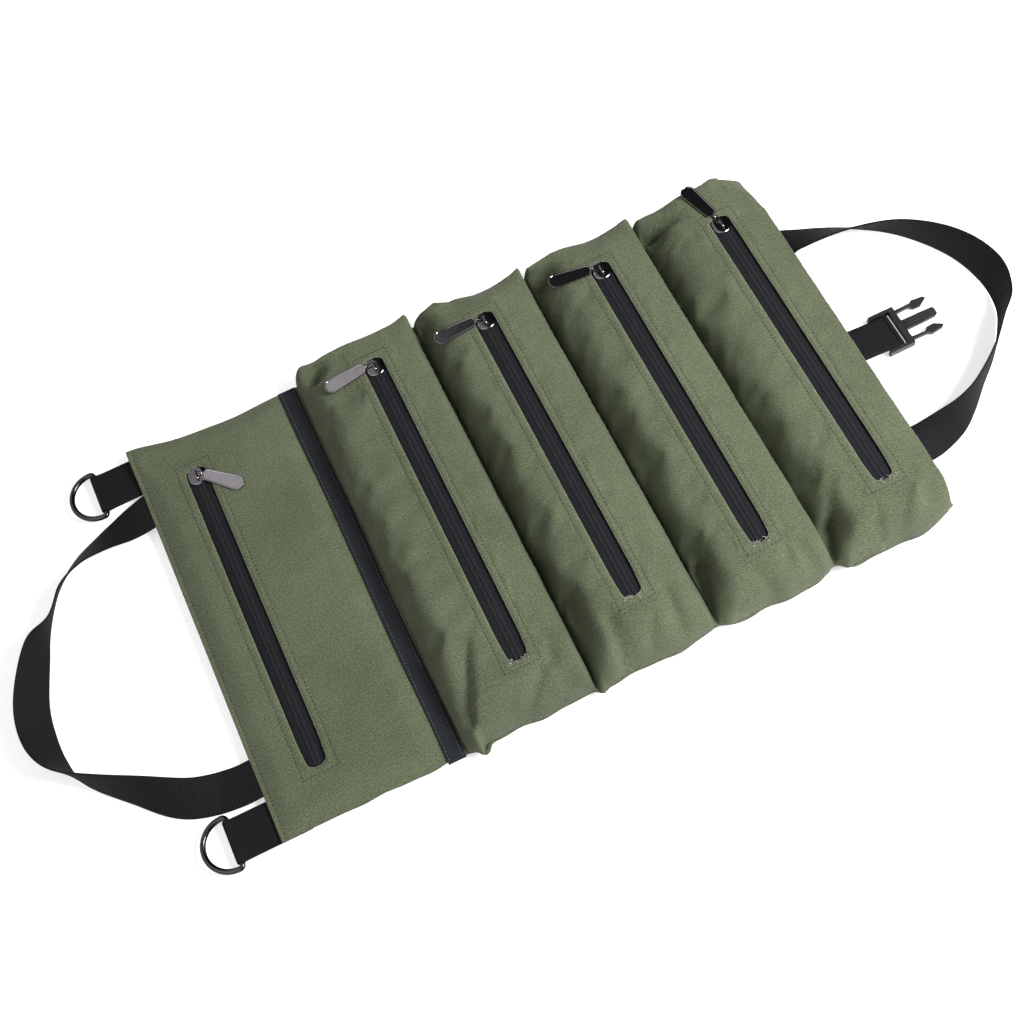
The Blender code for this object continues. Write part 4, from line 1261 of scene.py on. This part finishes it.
def make_handle(name, edge, outward, loop):
    """Carrying loop of ribbed webbing, sewn under the sheet's edge at both ends."""
    rows = []
    for reach, y, roll in spline(loop, 12):
        lift = HANDLE_WIDTH / 2 * abs(math.sin(math.radians(roll))) + HANDLE_FLOOR
        drop = min(max(reach / 30, 0.0), 1.0)
        level = SHEET_LEVEL + (lift - SHEET_LEVEL) * drop
        rows.append((edge + outward * reach * MM, y * MM, max(level, lift), roll))
    tuck = 9 * MM
    inside = edge - outward * tuck
    rows = [(inside, rows[0][1], SHEET_LEVEL - 0.2 * MM, 0)] + rows
    rows += [(inside, rows[-1][1], SHEET_LEVEL - 0.2 * MM, 0)]
    stations, distances = resample(rows, STATION_PITCH)
    centres = stations[:, :3]
    flat = np.gradient(centres, axis=0)
    flat[:, 2] = 0
    window = 13
    kernel = np.ones(window) / window
    for axis in (0, 1):
        padded = np.pad(flat[:, axis], window // 2, mode="edge")
        flat[:, axis] = np.convolve(padded, kernel, mode="valid")
    flat /= np.linalg.norm(flat, axis=1)[:, None]
    side = np.stack([-flat[:, 1], flat[:, 0], np.zeros(len(flat))], axis=1)
    roll = np.radians(stations[:, 3])
    acrosses = side * np.cos(roll)[:, None] + np.array([0, 0, 1.0]) * np.sin(roll)[:, None]
    obj = webbing_object(name + "_webbing", centres, acrosses, HANDLE_WIDTH, HANDLE_THICKNESS,
                         distances, WEBBING)
    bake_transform(obj)
    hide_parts(name)


def folded_path(bar, tail, radius, thickness):
    """Path in the XZ plane: in along the top layer, round the bar and back underneath."""
    bar, tail = Vector(bar), Vector(tail)
    run = (tail - bar).normalized()
    side = Vector((-run.y, run.x))
    if side.y < 0:
        side = -side
    half = thickness * 0.52
    loop = radius + thickness / 2 + 0.15 * MM
    neck = bar + run * loop * 2.6
    path = [tail + side * half, neck + side * half]
    for k in range(13):
        turn = math.pi * (0.5 + k / 12)
        path.append(bar + run * loop * math.cos(turn) + side * loop * math.sin(turn))
    path += [neck - side * half, tail - side * half]
    return path


def make_folded_strap(name, bar, tail, radius, width, centre_y, thickness=1.35 * MM):
    path = folded_path(bar, tail, radius, thickness)
    rows = [(p.x, centre_y, p.y) for p in path]
    dense = spline(rows, 10)
    stations, distances = resample(dense, STATION_PITCH)
    acrosses = np.tile(np.array([0.0, 1.0, 0.0]), (len(stations), 1))
    return webbing_object(name, stations, acrosses, width, thickness, distances, WEBBING)


def make_d_rings():
    """Two D-rings in their folded webbing tabs."""
    for name in ("upper", "lower"):
        bar = JOINT[f"d_ring_{name}_swing"]["pos_m"]
        low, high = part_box(f"d_ring_tab_{name}")
        wire_low, wire_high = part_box(f"d_ring_{name}")
        radius = (wire_high.z - wire_low.z) / 2
        tail = (high.x, SHEET_LEVEL - SHEET_HALF_THICKNESS - 1.9 * MM)
        strap = make_folded_strap(f"d_ring_tab_{name}_webbing", (bar[0], bar[2]), tail, radius,
                                  high.y - low.y, (low.y + high.y) / 2)
        attach(strap, "panel_1", "webbing", f"d_ring_tab_{name}")
        half = (wire_high.y - wire_low.y) / 2 - radius
        depth = bar[0] - wire_low.x - radius
        ring = d_ring_object(f"d_ring_{name}_wire", bar, half, depth, radius)
        attach(ring, f"d_ring_{name}", "ring_metal", f"d_ring_{name}")


def d_ring_object(name, bar, half, depth, radius):
    """Round wire bent into a D, with tight corners where the arc meets the bar."""
    corner = 3.4 * MM
    path = []
    for k in range(41):
        turn = math.pi / 2 + math.pi * k / 40
        path.append((-corner * 0.9 + (depth - corner * 0.9) * math.cos(turn), half * math.sin(turn)))
    bend = []
    for k in range(1, 7):
        turn = math.pi / 2 * k / 7
        bend.append((-corner * 0.9 + corner * 0.9 * math.sin(turn),
                     -half + corner * (1 - math.cos(turn))))
    bar_side = [(0.0, (-half + corner) + 2 * (half - corner) * k / 10) for k in range(11)]
    path += bend + bar_side + [(x, -y) for x, y in reversed(bend)]
    sides = 16
    count = len(path)
    vertices = []
    for k, (x, y) in enumerate(path):
        ahead, behind = path[(k + 1) % count], path[k - 1]
        tangent = Vector((ahead[0] - behind[0], ahead[1] - behind[1], 0)).normalized()
        side = Vector((-tangent.y, tangent.x, 0))
        centre = Vector((bar[0] + x, bar[1] + y, bar[2]))
        for s in range(sides):
            turn = 2 * math.pi * s / sides
            vertices.append(centre + (side * math.cos(turn) + Vector((0, 0, math.sin(turn)))) * radius)
    return new_object(name, vertices, tube_faces(count, sides, closed=True), RING_METAL)


def make_buckle_strap(name, hinge, tail, node):
    """Folded strap round a buckle's bar, running straight from the bar back to its tail."""
    low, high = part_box("buckle_strap")
    bar = JOINT[hinge]["pos_m"]
    strap = make_folded_strap(name, (bar[0], bar[2]), tail, BUCKLE_BAR, high.y - low.y,
                              (low.y + high.y) / 2)
    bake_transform(strap)
    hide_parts(node)


BUCKLE_BAR = 1.7 * MM                    # radius of the bars that the buckle's straps go round


def make_buckle():
    """Both buckle halves keep their CAD shapes; their straps become ribbed webbing."""
    for node in ("buckle_male", "buckle_latch_upper", "buckle_latch_lower", "buckle_female"):
        dress_cad_piece(node, 0.45 * MM, PLASTIC)
    make_buckle_strap("buckle_strap_webbing", "male_buckle_tilt", (RIGHT_EDGE - 8 * MM, SHEET_LEVEL),
                      "buckle_strap")
    root = JOINT["female_strap_swing"]["pos_m"]
    make_buckle_strap("female_strap_webbing", "female_buckle_tilt", (root[0] + 9 * MM, root[2] + 0.1 * MM),
                      "buckle_female_strap")


# ---- band over the first seam ------------------------------------------------------------------

def make_band():
    """Black tape over the first seam, turned under at the near end, stitched along both edges."""
    low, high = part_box("edge_band")
    centre, width = (low.x + high.x) / 2, high.x - low.x
    top = high.z + 0.1 * MM
    path = [(HALF_WIDTH - 0.5 * MM, top)] + [(y, top) for y in np.linspace(HALF_WIDTH - 4 * MM,
                                                                        -HALF_WIDTH + 4 * MM, 30)]
    middle = (low.z + high.z) / 2
    bend = (high.z - low.z) / 2
    for k in range(9):
        turn = math.pi / 2 + math.pi * k / 8
        path.append((low.y + bend * 0.5 + bend * 0.7 * math.cos(turn), middle + bend * math.sin(turn)))
    path.append((low.y + 18 * MM, low.z + 0.4 * MM))
    rows = [(centre + 0.6 * MM * math.sin(y * 31), y, z + 0.25 * MM * math.sin(y * 57)) for y, z in path]
    stations, distances = resample(spline(rows, 6), 0.9 * MM)
    acrosses = np.tile(np.array([1.0, 0.0, 0.0]), (len(stations), 1))
    obj = webbing_object("edge_band_tape", stations, acrosses, width, 0.9 * MM, distances, BINDING,
                         0.04 * MM)
    attach(obj, "panel_1", "binding", "edge_band")
    lines = [[(centre + side * (width / 2 - 2.2 * MM), -HALF_WIDTH + 1 * MM),
              (centre + side * (width / 2 - 2.2 * MM), HALF_WIDTH - 1 * MM)] for side in (-1, 1)]
    stitch_line("edge_band_stitches", lines, surface_of(obj), "panel_1", "binding",
                BAND_THREAD)


# ---- stage -------------------------------------------------------------------------------------

def make_stage():
    """Pale floor, white surroundings, two soft lights and the camera."""
    bpy.ops.mesh.primitive_plane_add(size=12, location=(0, 0, -0.3 * MM))
    floor = bpy.context.object
    floor.name = "floor"
    floor.data.materials.append(floor_material())
    world = bpy.data.worlds.new("surroundings")
    world.use_nodes = True
    dress_world(world.node_tree)
    bpy.context.scene.world = world
    add_light("key", (0.90, -0.60, 1.20), 0.6, 36.0)
    add_light("fill", (-0.9, -0.5, 1.6), 1.4, 4.0)
    bpy.context.scene.view_settings.view_transform = "Standard"
    add_camera()


def dress_world(tree):
    """Even white light, but polished metal sees a dark side towards +X."""
    background = tree.nodes["Background"]
    background.inputs[0].default_value = (1.0, 1.0, 1.0, 1.0)
    place = tree.nodes.new("ShaderNodeTexCoord")
    split = tree.nodes.new("ShaderNodeSeparateXYZ")
    tree.links.new(place.outputs["Generated"], split.inputs[0])
    side = tree.nodes.new("ShaderNodeMapRange")
    side.interpolation_type = "SMOOTHSTEP"
    side.inputs["From Min"].default_value = 0.04
    side.inputs["From Max"].default_value = 0.08
    side.inputs["To Min"].default_value = 0.80
    side.inputs["To Max"].default_value = 0.02
    tree.links.new(split.outputs[0], side.inputs["Value"])
    ray = tree.nodes.new("ShaderNodeLightPath")
    strength = tree.nodes.new("ShaderNodeMix")
    strength.inputs[2].default_value = AMBIENT
    tree.links.new(ray.outputs["Is Glossy Ray"], strength.inputs[0])
    tree.links.new(side.outputs[0], strength.inputs[3])
    tree.links.new(strength.outputs[0], background.inputs[1])


def add_light(name, place, size, power):
    data = bpy.data.lights.new(name, "AREA")
    data.shape = "DISK"
    data.size = size
    data.energy = power
    light = bpy.data.objects.new(name, data)
    light.location = place
    light.rotation_euler = (-Vector(place)).to_track_quat("-Z", "Y").to_euler()
    bpy.context.scene.collection.objects.link(light)


CAMERA_PLACE = (-0.1195, -0.4968, 1.116)
CAMERA_HEADING = (0.08185, 0.39940, -0.91312)
CAMERA_ROLL = math.radians(14.715)
CAMERA_LENS = 52.73


def add_camera():
    forward = Vector(CAMERA_HEADING).normalized()
    right = forward.cross(Vector((0, 0, 1))).normalized()
    down = forward.cross(right)
    x_axis = right * math.cos(CAMERA_ROLL) + down * math.sin(CAMERA_ROLL)
    z_axis = -forward
    y_axis = z_axis.cross(x_axis)
    data = bpy.data.cameras.new("camera")
    data.lens = CAMERA_LENS
    data.sensor_width = 36.0
    camera = bpy.data.objects.new("camera", data)
    rotation = Matrix((x_axis, y_axis, z_axis)).transposed().to_4x4()
    camera.matrix_world = Matrix.Translation(Vector(CAMERA_PLACE)) @ rotation
    bpy.context.scene.collection.objects.link(camera)
    bpy.context.scene.camera = camera


# ---- assembly ----------------------------------------------------------------------------------

def main():
    canvases = [make_flat_pocket()] + [make_pocket(i) for i in range(1, PANELS)]
    for index in range(PANELS - 1):
        make_back_sheet(index)
    for index, canvas in enumerate(canvases):
        make_zip(index)
        make_pull_tab(index)
        make_slider(index)
        dress_cad_piece(f"zip_{index + 1}_pull_ring", 0.1 * MM, ZIP_METAL)
        body = f"panel_{index + 1}"
        stitch_line(f"zip_{index + 1}_stitches", [window_path(PANEL[index], HEM)],
                    surface_of(canvas), body, "canvas")
        make_window_edge(index, canvas)
        if index:
            make_frayed_yarns(index)
    hem = LEFT_EDGE + 4.4 * MM
    stitch_line("left_hem_stitches", [[(hem, -HALF_WIDTH + 2 * MM), (hem, HALF_WIDTH - 2 * MM)]],
                surface_of(canvases[0]), "panel_1", "canvas")
    make_band()
    make_handle("left_handle", LEFT_EDGE, -1, LEFT_LOOP)
    make_handle("right_handle", RIGHT_EDGE, 1, RIGHT_LOOP)
    make_d_rings()
    make_buckle()
    make_stage()


main()
